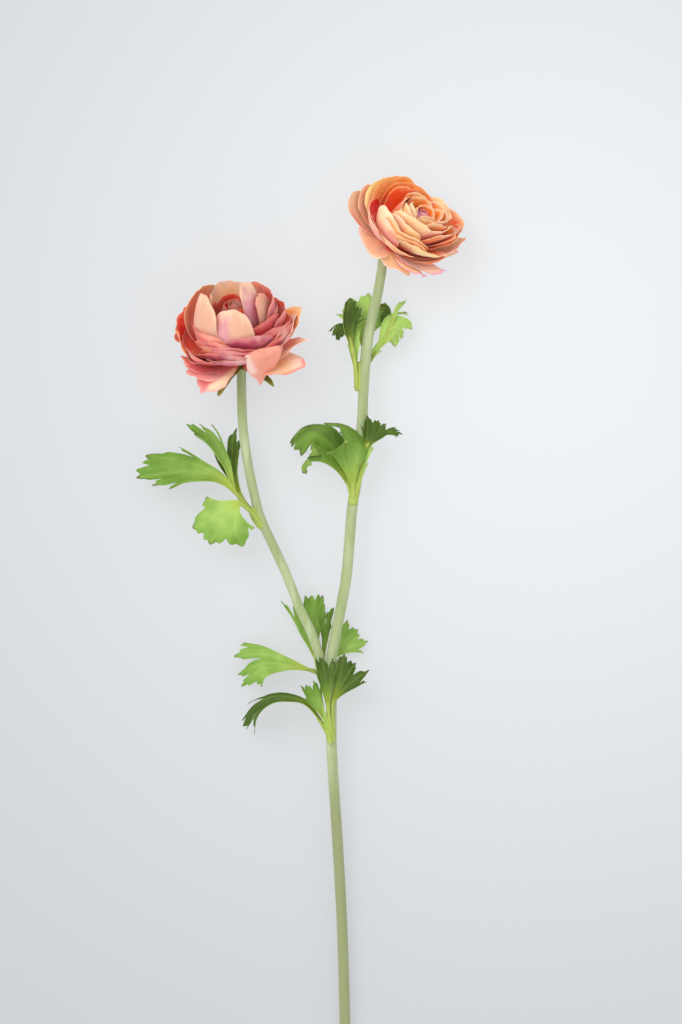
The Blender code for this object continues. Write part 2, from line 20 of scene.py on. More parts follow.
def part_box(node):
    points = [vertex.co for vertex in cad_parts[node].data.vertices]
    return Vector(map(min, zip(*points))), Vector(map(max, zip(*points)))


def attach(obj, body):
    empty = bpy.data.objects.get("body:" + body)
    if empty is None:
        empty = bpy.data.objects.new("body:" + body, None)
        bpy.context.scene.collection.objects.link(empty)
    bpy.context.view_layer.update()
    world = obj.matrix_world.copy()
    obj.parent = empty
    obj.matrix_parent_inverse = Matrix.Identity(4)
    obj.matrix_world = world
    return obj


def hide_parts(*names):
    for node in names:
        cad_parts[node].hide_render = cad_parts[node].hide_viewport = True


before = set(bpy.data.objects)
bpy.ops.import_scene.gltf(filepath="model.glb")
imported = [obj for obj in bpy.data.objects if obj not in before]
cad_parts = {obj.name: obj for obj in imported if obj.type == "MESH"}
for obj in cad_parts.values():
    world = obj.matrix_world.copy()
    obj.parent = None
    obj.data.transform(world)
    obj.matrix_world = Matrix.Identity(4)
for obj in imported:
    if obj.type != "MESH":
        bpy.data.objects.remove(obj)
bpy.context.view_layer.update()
print("solids:", ", ".join(sorted(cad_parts)))

# %% [markdown]
# ## Units and places
#
# The spray is measured in millimetres from the point on the table below the lowest leaf group, with +Y up the
# stem and +Z towards the ceiling. The frame's origin is the middle of the whole spray instead, so one shift
# takes every point over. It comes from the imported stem: its cut end is the lowest point along Y.

# %% Units and the shift to the frame
MM = 0.001
SHIFT = np.array([15.39, -44.84, 0.0])
CUT_END_Y = -187.5
stem_low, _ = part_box("stem")
print("cut end in mm: by the shift", CUT_END_Y + SHIFT[1], " by the packed stem", round(1000 * stem_low.y, 2))

# %% [markdown]
# ## Light, table and camera
#
# The spray lies on a pale table and is looked at from straight above, so the camera hangs over the middle of
# the view and its up direction is +Y. A long lens keeps the flowers, which stand nearer to the camera than the
# stem, from looking too large. The light is a studio's: a bright room all round, and one large soft window from
# the upper left. The table is a sheet of lit opal plastic, which studios use to keep a product free of its own
# shadow, so part of its brightness is its own light, strongest at the upper right and fading softly outwards.

# %% Camera and lights
VIEW_MIDDLE = (5.5, 111.5)  # what the camera's axis meets, in mm from the leaf group
VIEW_HEIGHT = 512.0
LENS = 135.0
SENSOR = 36.0


def placed(x, y, z=0.0):
    """A point in mm from the leaf group, in the frame's metres."""
    return Vector(((x + SHIFT[0]) * MM, (y + SHIFT[1]) * MM, z * MM))


def shown(name, data):
    """A new object in the scene."""
    thing = bpy.data.objects.new(name, data)
    bpy.context.scene.collection.objects.link(thing)
    return thing


def add_camera():
    camera = shown("camera", bpy.data.cameras.new("camera"))
    camera.data.lens, camera.data.sensor_width = LENS, SENSOR
    camera.location = placed(*VIEW_MIDDLE, VIEW_HEIGHT * LENS / SENSOR)
    bpy.context.scene.camera = camera


def add_window(name, place, aim, size, power, colour):
    light = bpy.data.lights.new(name, "AREA")
    light.shape, light.size, light.energy, light.color = "DISK", size, power, colour
    window = shown(name, light)
    window.location = placed(*place)
    window.rotation_euler = (placed(*aim) - window.location).to_track_quat("-Z", "Y").to_euler()


def add_room(colour, strength):
    world = bpy.data.worlds.new("room")
    world.use_nodes = True
    background = world.node_tree.nodes["Background"].inputs
    background["Color"].default_value, background["Strength"].default_value = (*colour, 1.0), strength
    bpy.context.scene.world = world


add_camera()
add_room(colour=(0.98, 0.985, 1.0), strength=1.2)
add_window("window_left", place=(-620, 720, 1300), aim=(0, 120, 0), size=1.1, power=10.0, colour=(1.0, 0.98, 0.95))
bpy.context.scene.view_settings.view_transform = "Standard"

# %% [markdown]
# ## Building finishes from nodes
#
# Each finish is a small tree of shader nodes round one Principled shader. A wire is an output of a node, and
# sums with wires add the Math nodes that work them out, so a finish reads as a formula. The other helpers make
# noises, ramps and bumps, and lay colours over a ground one after another. Patterns read either Object
# coordinates, which are the spray's own metres, or attributes that the mesh carries.


# %% Wires and nodes
class Wire:
    """An output of a node. Sums, products and ratios of wires and numbers are wires too."""

    def __init__(self, node, output=0):
        self.node, self.socket = node, node.outputs[output]

    def other(self, output):
        return Wire(self.node, output)

    def __add__(self, value):
        return calculated("ADD", self, value)

    def __sub__(self, value):
        return calculated("SUBTRACT", self, value)

    def __rsub__(self, value):
        return calculated("SUBTRACT", value, self)

    def __mul__(self, value):
        return calculated("MULTIPLY", self, value)

    def __truediv__(self, value):
        return calculated("DIVIDE", self, value)


def fill(socket, value):
    """Leads a wire to a socket, or gives the socket a plain value."""
    if isinstance(value, Wire):
        socket.id_data.links.new(value.socket, socket)
    else:
        socket.default_value = value


def add_node(kind, settings=None, tree=None, **sockets):
    """Adds a node to a tree or, by default, to the tree of the wires that it takes, and gives its first wire.

    Sockets go by name or, as in _0, by number."""
    tree = tree or next(value.node.id_data for value in sockets.values() if isinstance(value, Wire))
    node = tree.nodes.new(kind)
    for key, value in (settings or {}).items():
        setattr(node, key, value)
    for key, value in sockets.items():
        fill(node.inputs[int(key[1:]) if key[1:].isdigit() else key.replace("_", " ")], value)
    return Wire(node)


def calculated(operation, *values):
    sockets = {f"_{k}": value for k, value in enumerate(values)}
    return add_node("ShaderNodeMath", {"operation": operation}, **sockets)


# %% Colours, noises and finishes
def mixed(share, first, second):
    """A colour between two others. It holds the first where share is 0."""
    return add_node("ShaderNodeMix", {"data_type": "RGBA"}, _0=share, _6=first, _7=second).other(2)


def vector_of(x, y, z):
    return add_node("ShaderNodeCombineXYZ", _0=x, _1=y, _2=z)


def ramped(value, low, high):
    """0 below low, 1 above high and a smooth step between."""
    settings = {"interpolation_type": "SMOOTHSTEP"}
    return add_node("ShaderNodeMapRange", settings, Value=value, From_Min=low, From_Max=high)


def speckled(place, scale, detail=3.0):
    """A noise from 0 to 1 at this many cells to the unit."""
    return add_node("ShaderNodeTexNoise", Vector=place, Scale=scale, Detail=detail).other("Fac")


def frayed(value, noise, size):
    """A value moved up or down by a noise, so that a border drawn by it is uneven."""
    return noise * size + (value - size / 2)


def carried(tree, name, output="Fac"):
    """A value, colour or vector that the mesh carries."""
    return add_node("ShaderNodeAttribute", {"attribute_name": name}, tree).other(output)


def bumped(height, distance, strength, **below):
    return add_node("ShaderNodeBump", Height=height, Distance=distance, Strength=strength, **below)


def new_finish(name):
    """A material with its tree, its Principled shader and the spray's own coordinates."""
    material = bpy.data.materials.new(name)
    material.use_nodes = True
    tree = material.node_tree
    place = add_node("ShaderNodeTexCoord", tree=tree).other("Object")
    return material, tree, tree.nodes["Principled BSDF"], place


def dye(red, green, blue):
    """A colour given as a screen shows it, from 0 to 255, as the linear colour that shaders use."""
    share = np.array([red, green, blue]) / 255
    return (*np.where(share < 0.04045, share / 12.92, ((share + 0.055) / 1.055) ** 2.4), 1.0)


def painted(shader, ground, layers, **values):
    """Lays colours over a ground, each by its share times its strength, and fills the shader's other sockets."""
    for share, strength, colour in layers:
        ground = mixed(share * strength, ground, colour)
    for key, value in {**values, "Base_Color": ground}.items():
        fill(shader.inputs[key.replace("_", " ")], value)


# %% The table
TABLE_REACH = 3.0
GLOW_MIDDLE = (0.12, 0.15, 0.0)  # in metres, to the right of the flowers
GLOW_FLOOR, GLOW_PEAK, GLOW_FALL = 0.33, 0.29, 11.0


def make_table():
    material, _, shader, place = new_finish("table_paint")
    away = add_node("ShaderNodeVectorMath", {"operation": "DISTANCE"}, _0=place, _1=GLOW_MIDDLE).other(1)
    glow = calculated("EXPONENT", away * away * -GLOW_FALL) * GLOW_PEAK + GLOW_FLOOR
    cloud = (speckled(place, 3.0), 1.0, dye(122, 124, 126))
    painted(shader, dye(119, 122, 124), [cloud], Roughness=0.85, Specular_IOR_Level=0.1,
            Emission_Strength=glow, Emission_Color=(0.965, 0.985, 1.0, 1.0))
    mesh = bpy.data.meshes.new("table")
    corners = [(x * TABLE_REACH, y * TABLE_REACH, 0) for x, y in ((-1, -1), (1, -1), (1, 1), (-1, 1))]
    mesh.from_pydata(corners, [], [(0, 1, 2, 3)])
    mesh.materials.append(material)
    table = shown("table", mesh)


make_table()

# %% [markdown]
# ## Curves and thin sheets
#
# Petals, sepals, leaf blades and sheaths are all cloth or film: a surface much wider than it is thick. Each is
# described once as a grid of points, and then given its thickness by moving the grid half of it out along its
# normals and half of it in. A row of faces round the rim closes it. Numbers that a finish will need, such as
# how far a point is from the petal's root, are carried with the points as attributes.


# %% Curves
def unit(vector):
    vector = np.asarray(vector, float)
    return vector / np.linalg.norm(vector, axis=-1, keepdims=True)


def smooth_path(points, per_span):
    """Points along a Catmull-Rom curve through the given ones."""
    knots = np.asarray(points, float)
    knots = np.vstack([2 * knots[0] - knots[1], knots, 2 * knots[-1] - knots[-2]])
    path = []
    for a, b, c, d in zip(knots, knots[1:], knots[2:], knots[3:]):
        for t in np.arange(per_span) / per_span:
            path.append(
                0.5 * (2 * b + (c - a) * t + (2 * a - 5 * b + 4 * c - d) * t**2
                       + (3 * b - a - 3 * c + d) * t**3)
            )
    return np.array(path + [knots[-2]])


def arc_lengths(path):
    return np.concatenate([[0.0], np.cumsum(np.linalg.norm(np.diff(path, axis=0), axis=1))])


def along(path, lengths, distance):
    """Places at the given distances along a path, run on straight past its end."""
    distance = np.asarray(distance, float)
    places = np.stack([np.interp(distance, lengths, path[:, k]) for k in range(path.shape[1])], axis=-1)
    past = np.maximum(distance - lengths[-1], 0.0)[..., None]
    return places + past * unit(path[-1] - path[-2])


def bezier(controls, t):
    t = np.asarray(t, float)[:, None]
    a, b, c, d = np.asarray(controls, float)
    return a * (1 - t) ** 3 + 3 * b * t * (1 - t) ** 2 + 3 * c * t**2 * (1 - t) + d * t**3


def lattice(rows, columns):
    """Places along a sheet, from 0 to 1, and across it, from -1 to 1."""
    return np.meshgrid(np.linspace(0, 1, rows + 1), np.linspace(-1, 1, columns + 1), indexing="ij")


def ripples(points, wavelength, random, waves=7):
    """Smooth random heights between about -1 and 1: sine waves that cross in random directions."""
    directions = unit(random.normal(size=(waves, 3)))
    phases = random.uniform(0, math.tau, waves)
    lengths = wavelength * random.uniform(0.7, 1.5, waves)
    return 1.5 * np.sin(points @ (directions / lengths[:, None]).T * math.tau + phases).mean(axis=-1)


# %% Sheets, tubes and pieces
Patch = namedtuple("Patch", "points faces fields")
COLOUR_FIELDS = ("root", "face", "back", "rim", "flush")
CLOTH_SHARP, MOULDED_SHARP = math.radians(55), math.radians(50)  # edges that turn more than this look sharp


def grid_normals(grid):
    across = np.cross(np.gradient(grid, axis=0), np.gradient(grid, axis=1))
    return across / np.maximum(np.linalg.norm(across, axis=2, keepdims=True), 1e-9)


def thin_sheet(grid, thickness, fields):
    """A closed sheet. Its fields are numbers or colours for the grid, and front is 1 on the normals' side."""
    rows, columns = grid.shape[:2]
    count = rows * columns
    offset = grid_normals(grid) * (np.broadcast_to(thickness, (rows, columns))[..., None] / 2)
    points = np.concatenate([(grid + offset).reshape(-1, 3), (grid - offset).reshape(-1, 3)])
    index = np.arange(count).reshape(rows, columns)
    front = np.stack([index[:-1, :-1], index[1:, :-1], index[1:, 1:], index[:-1, 1:]], axis=-1).reshape(-1, 4)
    rim = np.concatenate([index[0], index[1:, -1], index[-1, -2::-1], index[-2:0:-1, 0]])
    after = np.roll(rim, -1)
    edge = np.stack([rim, after, after + count, rim + count], axis=-1)
    carried_fields = {"front": np.repeat([1.0, 0.0], count)}
    for name, value in fields.items():
        value = np.asarray(value, float)
        full = np.broadcast_to(value, (rows, columns, value.shape[-1]) if name in COLOUR_FIELDS else (rows, columns))
        flat = full.reshape(count, -1) if name in COLOUR_FIELDS else full.reshape(-1)
        carried_fields[name] = np.concatenate([flat, flat])
    return Patch(points, np.concatenate([front, front[:, ::-1] + count, edge]), carried_fields)


def closed_rings(count, sides):
    """The faces of a wall of rings and of a fan at each end. The fans' points come after the rings'."""
    index = np.arange(count * sides).reshape(count, sides)
    after = np.roll(index, -1, axis=1)
    wall = np.stack([index[:-1], after[:-1], after[1:], index[1:]], axis=-1).reshape(-1, 4)
    starts = [(count * sides, b, a, a) for a, b in zip(index[0], after[0])]
    ends = [(count * sides + 1, a, b, b) for a, b in zip(index[-1], after[-1])]
    return np.vstack([wall, starts, ends])


def round_tube(path, radii, sides, fields):
    """A closed tube along a path. Its ends are closed by a last ring drawn in to a point."""
    path = np.asarray(path, float)
    tangents = unit(np.gradient(path, axis=0))
    side = unit(np.cross(tangents[0], (0.1, 0.2, 1.0)))
    rings = []
    for centre, tangent, radius in zip(path, tangents, radii):
        side = unit(side - tangent * np.dot(side, tangent))
        turn = math.tau * np.arange(sides)[:, None] / sides
        rings.append(centre + radius * (side * np.cos(turn) + np.cross(tangent, side) * np.sin(turn)))
    points = np.vstack(rings + [path[:1], path[-1:]])
    carried_fields = {"front": np.ones(len(points))}
    for name, value in fields.items():
        value = np.asarray(value, float)
        if name in COLOUR_FIELDS:
            carried_fields[name] = np.broadcast_to(value, (len(points), value.shape[-1]))
        elif value.ndim == 0:
            carried_fields[name] = np.full(len(points), float(value))
        else:
            carried_fields[name] = np.concatenate([np.repeat(value, sides), value[:1], value[-1:]])
    return Patch(points, closed_rings(len(path), sides), carried_fields)


def smooth_faces(mesh, sharp):
    mesh.polygons.foreach_set("use_smooth", [True] * len(mesh.polygons))
    mesh.set_sharp_from_angle(angle=sharp)
    print(f"{mesh.name}: {sum(len(p.vertices) - 2 for p in mesh.polygons)} triangles")


def make_piece(name, patches, material):
    """One object from many patches, with the fields that they all carry."""
    points = np.concatenate([patch.points for patch in patches])
    faces, start = [], 0
    for patch in patches:
        for face in (patch.faces + start).tolist():
            faces.append(face[:3] if face[2] == face[3] else face)
        start += len(patch.points)
    mesh = bpy.data.meshes.new(name)
    mesh.from_pydata((points + SHIFT) * MM, [], faces)
    for field in patches[0].fields:
        value = np.concatenate([patch.fields[field] for patch in patches])
        kind, holder = ("FLOAT_COLOR", "color") if field in COLOUR_FIELDS else ("FLOAT", "value")
        attribute = mesh.attributes.new(field, kind, "POINT")
        attribute.data.foreach_set(holder, value.astype(np.float32).ravel())
    smooth_faces(mesh, CLOTH_SHARP)
    mesh.materials.append(material)
    return shown(name, mesh)


# %% [markdown]
# ## The stem: a tube that follows a path
#
# The stem and its rose branch are moulded over wire and then flocked: fine fibres stand up from the skin and
# turn a hard plastic tube into something that looks like a living stem. A tube along a path, and fibres spread
# over it, both follow a rule, so Geometry Nodes make them. A reader can change the skin's sides, the ridges or
# the fibres without touching the path.


# %% Geometry Nodes helpers
def new_node_tree(name, inputs):
    """A Geometry Nodes tree that has a geometry input, these numbers and a geometry output."""
    tree = bpy.data.node_groups.new(name, "GeometryNodeTree")
    tree.interface.new_socket("Geometry", in_out="INPUT", socket_type="NodeSocketGeometry")
    for key, value in inputs.items():
        kind = "NodeSocketInt" if isinstance(value, int) else "NodeSocketFloat"
        tree.interface.new_socket(key, in_out="INPUT", socket_type=kind).default_value = value
    tree.interface.new_socket("Geometry", in_out="OUTPUT", socket_type="NodeSocketGeometry")
    entry, result = tree.nodes.new("NodeGroupInput"), tree.nodes.new("NodeGroupOutput")
    return tree, {key: Wire(entry, key) for key in ("Geometry", *inputs)}, result.inputs["Geometry"]


def known(tree, what):
    """What the geometry itself knows at each point: its position, normal, index or radius."""
    return add_node("GeometryNodeInput" + what, tree=tree)


def end_tree(geometry, result, material):
    """The two nodes that every tree ends in."""
    real = add_node("GeometryNodeRealizeInstances", Geometry=geometry)
    fill(result, add_node("GeometryNodeSetMaterial", Geometry=real, Material=material))


def baked(source, tree, sizes, name, turn=None):
    """A plain object with the mesh that a tree makes from the source, which is then removed."""
    modifier = source.modifiers.new("nodes", "NODES")
    modifier.node_group = tree
    for item in tree.interface.items_tree:
        if item.item_type == "SOCKET" and item.in_out == "INPUT" and item.name in sizes:
            modifier[item.identifier] = sizes[item.name]
    bpy.context.view_layer.update()
    graph = bpy.context.evaluated_depsgraph_get()
    mesh = bpy.data.meshes.new_from_object(source.evaluated_get(graph))
    source.modifiers.remove(modifier)
    bpy.data.objects.remove(source)
    if turn is not None:
        mesh.transform(turn)
    mesh.name = name
    smooth_faces(mesh, MOULDED_SHARP)
    return shown(name, mesh)


# %% The stem's finish
def stem_finish():
    """Grey-green flock with paler blotches and darker lines drawn out along the stem, and a darker foot."""
    material, _, shader, place = new_finish("stem_flock")
    stretched = add_node("ShaderNodeMapping", Vector=place, Scale=(1.0, 0.16, 1.0))
    down = add_node("ShaderNodeSeparateXYZ", _0=place).other(1) * -1.0
    layers = (
        (ramped(speckled(stretched, 130.0), 0.35, 0.72), 1.0, dye(178, 188, 148)),  # blotches
        (ramped(speckled(stretched, 420.0), 0.4, 0.7), 0.35, dye(138, 152, 98)),  # lines
        (ramped(down, 0.045, 0.09), 0.85, dye(134, 140, 98)),  # foot
        (ramped(speckled(place, 900.0), 0.62, 0.74), 0.35, dye(120, 130, 84)),  # specks
    )
    painted(shader, dye(150, 164, 116), layers, Roughness=0.85, Specular_IOR_Level=0.15, Sheen_Weight=0.35,
            Sheen_Roughness=0.5, Subsurface_Weight=0.08, Subsurface_Scale=0.0006,
            Normal=bumped(speckled(place, 2600.0), 0.00012, 0.7))
    return material


FLOCK = stem_finish()

# %% The stem's paths
STEM_RADIUS, BRANCH_RADIUS = 2.65, 2.35
# Places in mm, from the cut end to the calyx of the peach flower, and from the fork to the rose flower's.
MAIN_STEM = (
    (8.3, -187.5, 2.57), (7.5, -144.5, 4.6), (6.5, -107.5, 6.2), (4.8, -70, 7.8), (2.8, -37.5, 9.2),
    (0.8, -5, 10.4), (0.8, 17.5, 11.2), (1, 40, 11.9), (5.6, 64.5, 12.6), (8.5, 82.5, 13),
    (11, 113, 13.6), (13.5, 129, 13.8), (16, 157, 14), (16.5, 168.7, 14), (17.6, 184.7, 14),
    (19.4, 200.6, 14), (22.8, 215.8, 13.8), (25.4, 229.5, 13.6), (26.76, 239.3, 14.42), (28.65, 241.75, 16.34),
)
ROSE_BRANCH = (
    (0.8, 11, 11), (-1.4, 24, 11.6), (-5.2, 40, 12.4), (-9.5, 52.2, 13), (-15.3, 64.3, 13.5),
    (-22.5, 82.5, 14), (-34, 107.5, 14.6), (-37.2, 118.7, 14.8), (-40.6, 135, 15.2), (-43, 152.5, 15.8),
    (-43.7, 167.5, 16.4), (-43.84, 180.84, 17.75), (-44.22, 183.95, 19.64),
)


def stem_curves():
    """One curve object of two poly splines, whose points carry the radius."""
    curve = bpy.data.curves.new("stem_paths", "CURVE")
    curve.dimensions = "3D"
    main, branch = smooth_path(MAIN_STEM, 10), smooth_path(ROSE_BRANCH, 10)
    taper = np.interp(np.linspace(0, 1, len(main)), (0, 0.55, 1), (STEM_RADIUS, STEM_RADIUS, BRANCH_RADIUS))
    swell = BRANCH_RADIUS * np.interp(np.linspace(0, 1, len(branch)), (0, 0.12, 1), (0.8, 1, 1))
    for path, radii in ((main, taper), (branch, swell)):
        spline = curve.splines.new("POLY")
        spline.points.add(len(path) - 1)
        for point, place, radius in zip(spline.points, (path + SHIFT) * MM, radii):
            point.co, point.radius = (*place, 1), radius * MM
    print("main stem", round(arc_lengths(main)[-1]), "mm, rose branch", round(arc_lengths(branch)[-1]), "mm")
    return shown("stem_paths", curve)


# %% The stem's tree: tube, ridges and fibres
# Lengths in metres.
STEM_SIZES = {"Sides": 28, "Ridge": 0.00012, "Fibres per m2": 1.1e6, "Fibre length": 0.00038, "Seed": 3}


def stem_tree():
    tree, given, result = new_node_tree("flocked_stem", STEM_SIZES)
    ring = add_node("GeometryNodeCurvePrimitiveCircle", {"mode": "RADIUS"}, Resolution=given["Sides"], Radius=1.0)
    tube = add_node("GeometryNodeCurveToMesh", Curve=given["Geometry"], Profile_Curve=ring, Fill_Caps=True,
                    Scale=known(tree, "Radius"))
    long = add_node("ShaderNodeVectorMath", {"operation": "MULTIPLY"}, _0=known(tree, "Position"),
                    _1=(1.0, 0.12, 1.0))
    push = (speckled(long, 330.0, 2.0) * 2.0 - 1.0) * given["Ridge"]
    shift = add_node("ShaderNodeVectorMath", {"operation": "SCALE"}, _0=known(tree, "Normal"), Scale=push)
    skin = add_node("GeometryNodeSetPosition", Geometry=tube, Offset=shift)
    spots = add_node("GeometryNodeDistributePointsOnFaces", Mesh=skin, Density=given["Fibres per m2"],
                     Seed=given["Seed"])
    fibre = add_node("GeometryNodeMeshCone", Vertices=3, Radius_Top=0.000008, Radius_Bottom=0.00004,
                     Depth=given["Fibre length"])
    size = add_node("FunctionNodeRandomValue", {"data_type": "FLOAT"}, _2=0.4, _3=1.2, Seed=given["Seed"]).other(1)
    fibres = add_node("GeometryNodeInstanceOnPoints", Points=spots, Instance=fibre,
                      Rotation=spots.other("Rotation"), Scale=size)
    both = tree.nodes.new("GeometryNodeJoinGeometry")
    fill(both.inputs[0], skin)
    fill(both.inputs[0], fibres)
    end_tree(Wire(both), result, FLOCK)
    return tree


stem = baked(stem_curves(), stem_tree(), STEM_SIZES, "flocked_stem")
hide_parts("stem")
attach(stem, "root")

# %% [markdown]
# ## Leaves
#
# A ranunculus leaf is cut into leaflets, and each leaflet is a fan: it opens from the end of its stalk, its
# ribs run out to the tips of its teeth, and its edge is notched between them. The leaflet is laid out flat as a
# polar grid whose rays are the ribs, so that the notches are smooth and follow the ribs, and is then bent onto
# its spine, folded along the middle and cupped. Silk leaves are stamped with their veins, which are pleats here.

# %% Leaf tables
# A leaflet's spine is its middle line in mm, whose first share, the stalk, is bare. Spread is half of the fan's
# angle and fold how far each half is raised, in degrees. Side is the fan's reach at its sides as a share of its
# middle, face is the way that it looks, cup its radius across in mm, and a higher tone is paler.
Leaf = namedtuple("Leaf", "spine stalk spread side face fold cup wave tone")
LeafGroup = namedtuple("LeafGroup", "name sheath sheath_radius leaves")
LEAF_GROUPS = (
    LeafGroup("leaf_rose_branch", ((-33.4, 103.5, 15), (-36.6, 108.5, 15.6), (-38.8, 113.5, 16)), 2.4, (
        Leaf(((-36, 107.5, 16), (-45.5, 119.5, 18), (-53.5, 127.5, 19), (-64, 131, 18),
              (-77, 132, 16), (-98.5, 130, 14)), 0.24, 21, 0.66, (0.1, 0.45, 0.9), 10, 30, 0.8, 0.55),
        Leaf(((-36.5, 108.5, 15.4), (-46.5, 121, 16.5), (-52, 134.5, 16), (-60.5, 146, 13.5),
              (-71, 154.5, 12)), 0.30, 17, 0.85, (0.5, 0.3, 0.8), 35, 14, 0.4, 0.60),
        Leaf(((-37, 110, 14.6), (-43, 117.5, 13), (-47.3, 128, 11), (-48.6, 138, 9.5),
              (-47.4, 152.5, 9)), 0.28, 27, 0.75, (-0.5, 0.1, 0.85), 25, 18, 0.6, 0.22),
        Leaf(((-36, 107.5, 17), (-40, 112.5, 21), (-45.5, 115.5, 24), (-51, 109, 25.5),
              (-58, 92.5, 22)), 0.30, 62, 0.58, (0.1, 0.3, 0.95), 8, -34, 0.8, 0.72),
    )),
    LeafGroup("leaf_peach_high", ((14.2, 171.5, 13.6), (14.8, 178.5, 13), (15.6, 186, 12.6)), 2.8, (
        Leaf(((13.4, 173.5, 15), (12.2, 187, 16.4), (9.8, 197, 17.8), (8, 206.5, 18.6),
              (9.6, 218, 15.5)), 0.42, 34, 0.8, (0.6, -0.1, 0.7), 22, 14, 0.8, 0.14),
        Leaf(((11.6, 190, 16.8), (9.4, 198, 18.2), (6.6, 202.2, 18.6), (4.6, 200.6, 17.6),
              (4, 196, 16)), 0.30, 25, 0.8, (0.2, 0.5, 0.8), 12, -16, 0.5, 0.10),
        Leaf(((13.6, 176, 13.6), (12.4, 186, 14.4), (11.6, 196, 15), (12.4, 205.5, 13.6)),
             0.15, 14, 0.6, (0.2, -0.1, 1), 20, 14, 0.4, 1),
        Leaf(((15, 176, 11), (16.2, 190, 9.4), (17, 203, 9), (17.8, 212.5, 9.6),
              (17, 221, 8)), 0.40, 50, 0.85, (0, -0.1, 1), 8, -16, 0.8, 0.90),
        Leaf(((16.8, 196, 9), (21.5, 208.5, 9), (26, 214, 9.6), (28.6, 211.5, 9.4),
              (26.8, 205, 8.6)), 0.55, 15, 0.9, (0.1, 0.3, 0.95), 25, -12, 0.5, 0.12),
        Leaf(((15.2, 176, 10.6), (18.6, 184.5, 9.6), (24, 192.5, 11), (29, 200.5, 13),
              (33.5, 202.5, 13.6), (37.8, 196.8, 11)), 0.46, 38, 0.85, (-0.15, 0.5, 0.85), 14, -22, 0.7, 0.95),
        Leaf(((15.8, 178, 10.6), (19.6, 186.5, 10), (24.4, 193.5, 11.2), (30, 201, 13.2)),
             0.10, 10, 0.6, (-0.2, 0.2, 1), 24, 12, 0.3, 1),
        Leaf(((27.5, 197.5, 11.6), (31, 206, 12.6), (33.5, 212.5, 13.2), (38, 217, 13)),
             0.40, 9, 0.8, (0, 0.2, 1), 20, 14, 0.3, 0.85),
    )),
    LeafGroup("leaf_peach_low", ((11.2, 115, 15.4), (12, 121, 15.8), (12.6, 127.5, 16.2)), 2.5, (
        Leaf(((11, 119, 16.6), (6, 134, 17.5), (-1, 145, 19.5), (-9, 149, 19.5),
              (-18, 138, 17)), 0.12, 36, 0.75, (-0.1, 0.75, 0.6), 12, -16, 0.8, 0.42),
        Leaf(((11.6, 119, 17.6), (10.5, 133, 21), (9.5, 145, 24), (6, 151.5, 27),
              (1.5, 152, 31)), 0.12, 34, 0.8, (0, 0.85, 0.5), 15, -14, 0.8, 0.50),
        Leaf(((13, 119, 16.6), (15.8, 134, 18.4), (18.6, 145, 20), (21.5, 152, 19.8),
              (23.5, 158.5, 18)), 0.56, 40, 0.8, (-0.1, -0.3, 0.95), 20, 16, 0.7, 0.12),
        Leaf(((18, 144, 19.4), (23.5, 149, 19), (30, 151.2, 18.5), (36.5, 150.8, 17)),
             0.35, 17, 0.8, (0, 0.3, 0.95), 20, 14, 0.4, 0.30),
        Leaf(((13, 118, 16.6), (15, 130, 18), (18, 141, 19.8), (22, 149, 20.4)),
             0.10, 15, 0.6, (-0.3, 0.1, 0.95), 26, 10, 0.4, 0.95),
    )),
    LeafGroup("leaf_fork_high", ((-4.2, 29.5, 7.9), (-5.4, 35, 7.9), (-6.8, 41, 7.9)), 1.9, (
        Leaf(((-4.4, 31, 8.2), (-13.5, 34, 11), (-22, 36, 12.5), (-35, 36.5, 11),
              (-48.5, 31, 9)), 0.16, 24, 0.82, (0.1, 0.35, 0.93), 10, -30, 0.7, 0.66),
        Leaf(((-4.8, 31.5, 7.4), (-7.5, 42, 6.8), (-10, 52, 6.4), (-10.5, 62, 6),
              (-10.5, 72, 5.6)), 0.12, 24, 0.92, (0.2, -0.1, 0.95), 8, -30, 0.6, 0.58),
        Leaf(((-4, 32.5, 7), (-2.5, 44, 5.6), (-1, 54, 5), (1.2, 65.5, 4.4)),
             0.20, 17, 0.7, (-0.6, 0, 0.8), 30, 18, 0.4, 0.40),
        Leaf(((-3.6, 31.5, 6.8), (0, 37.5, 4.8), (7, 45.5, 4.4), (15.5, 54, 4.2)),
             0.26, 36, 0.8, (0, 0.15, 1), 8, -30, 0.8, 0.70),
    )),
    LeafGroup("leaf_fork_low", ((0.6, -3, 12.2), (0.2, 3, 12.8), (-0.4, 9.5, 13.2)), 2.5, (
        Leaf(((-0.6, 1, 13), (-6.5, 10, 14.5), (-14, 17, 16.5), (-26, 18, 17),
              (-36, 12.5, 14.5), (-43, 3.5, 11)), 0.14, 15, 0.92, (-0.1, 0.9, 0.5), 34, -12, 1, 0.16),
        Leaf(((-0.4, 1, 13.8), (-3.5, 10.5, 17), (-8, 19, 20), (-12.5, 28, 21)),
             0.24, 24, 0.85, (0.4, 0.4, 0.8), 15, 20, 0.9, 0.55),
        Leaf(((0.4, 1, 14.4), (-0.8, 13, 17.6), (-2, 27, 20), (-3.5, 41, 19.5)),
             0.36, 21, 0.9, (0.3, -0.2, 0.9), 14, 14, 0.7, 0.26),
        Leaf(((1, 2, 13.5), (1.2, 12, 16), (1.8, 18, 17), (8, 28.5, 19), (14.5, 38.5, 18)),
             0.38, 36, 0.88, (-0.3, 0.1, 0.95), 12, 24, 1, 0.12),
        Leaf(((0.2, -3, 14.6), (-1.6, 6, 16.2), (-5.5, 16, 17.6), (-8, 26, 17.8)),
             0.10, 9, 0.6, (0.1, 0.1, 1), 34, 6, 0.3, 1),
    )),
)


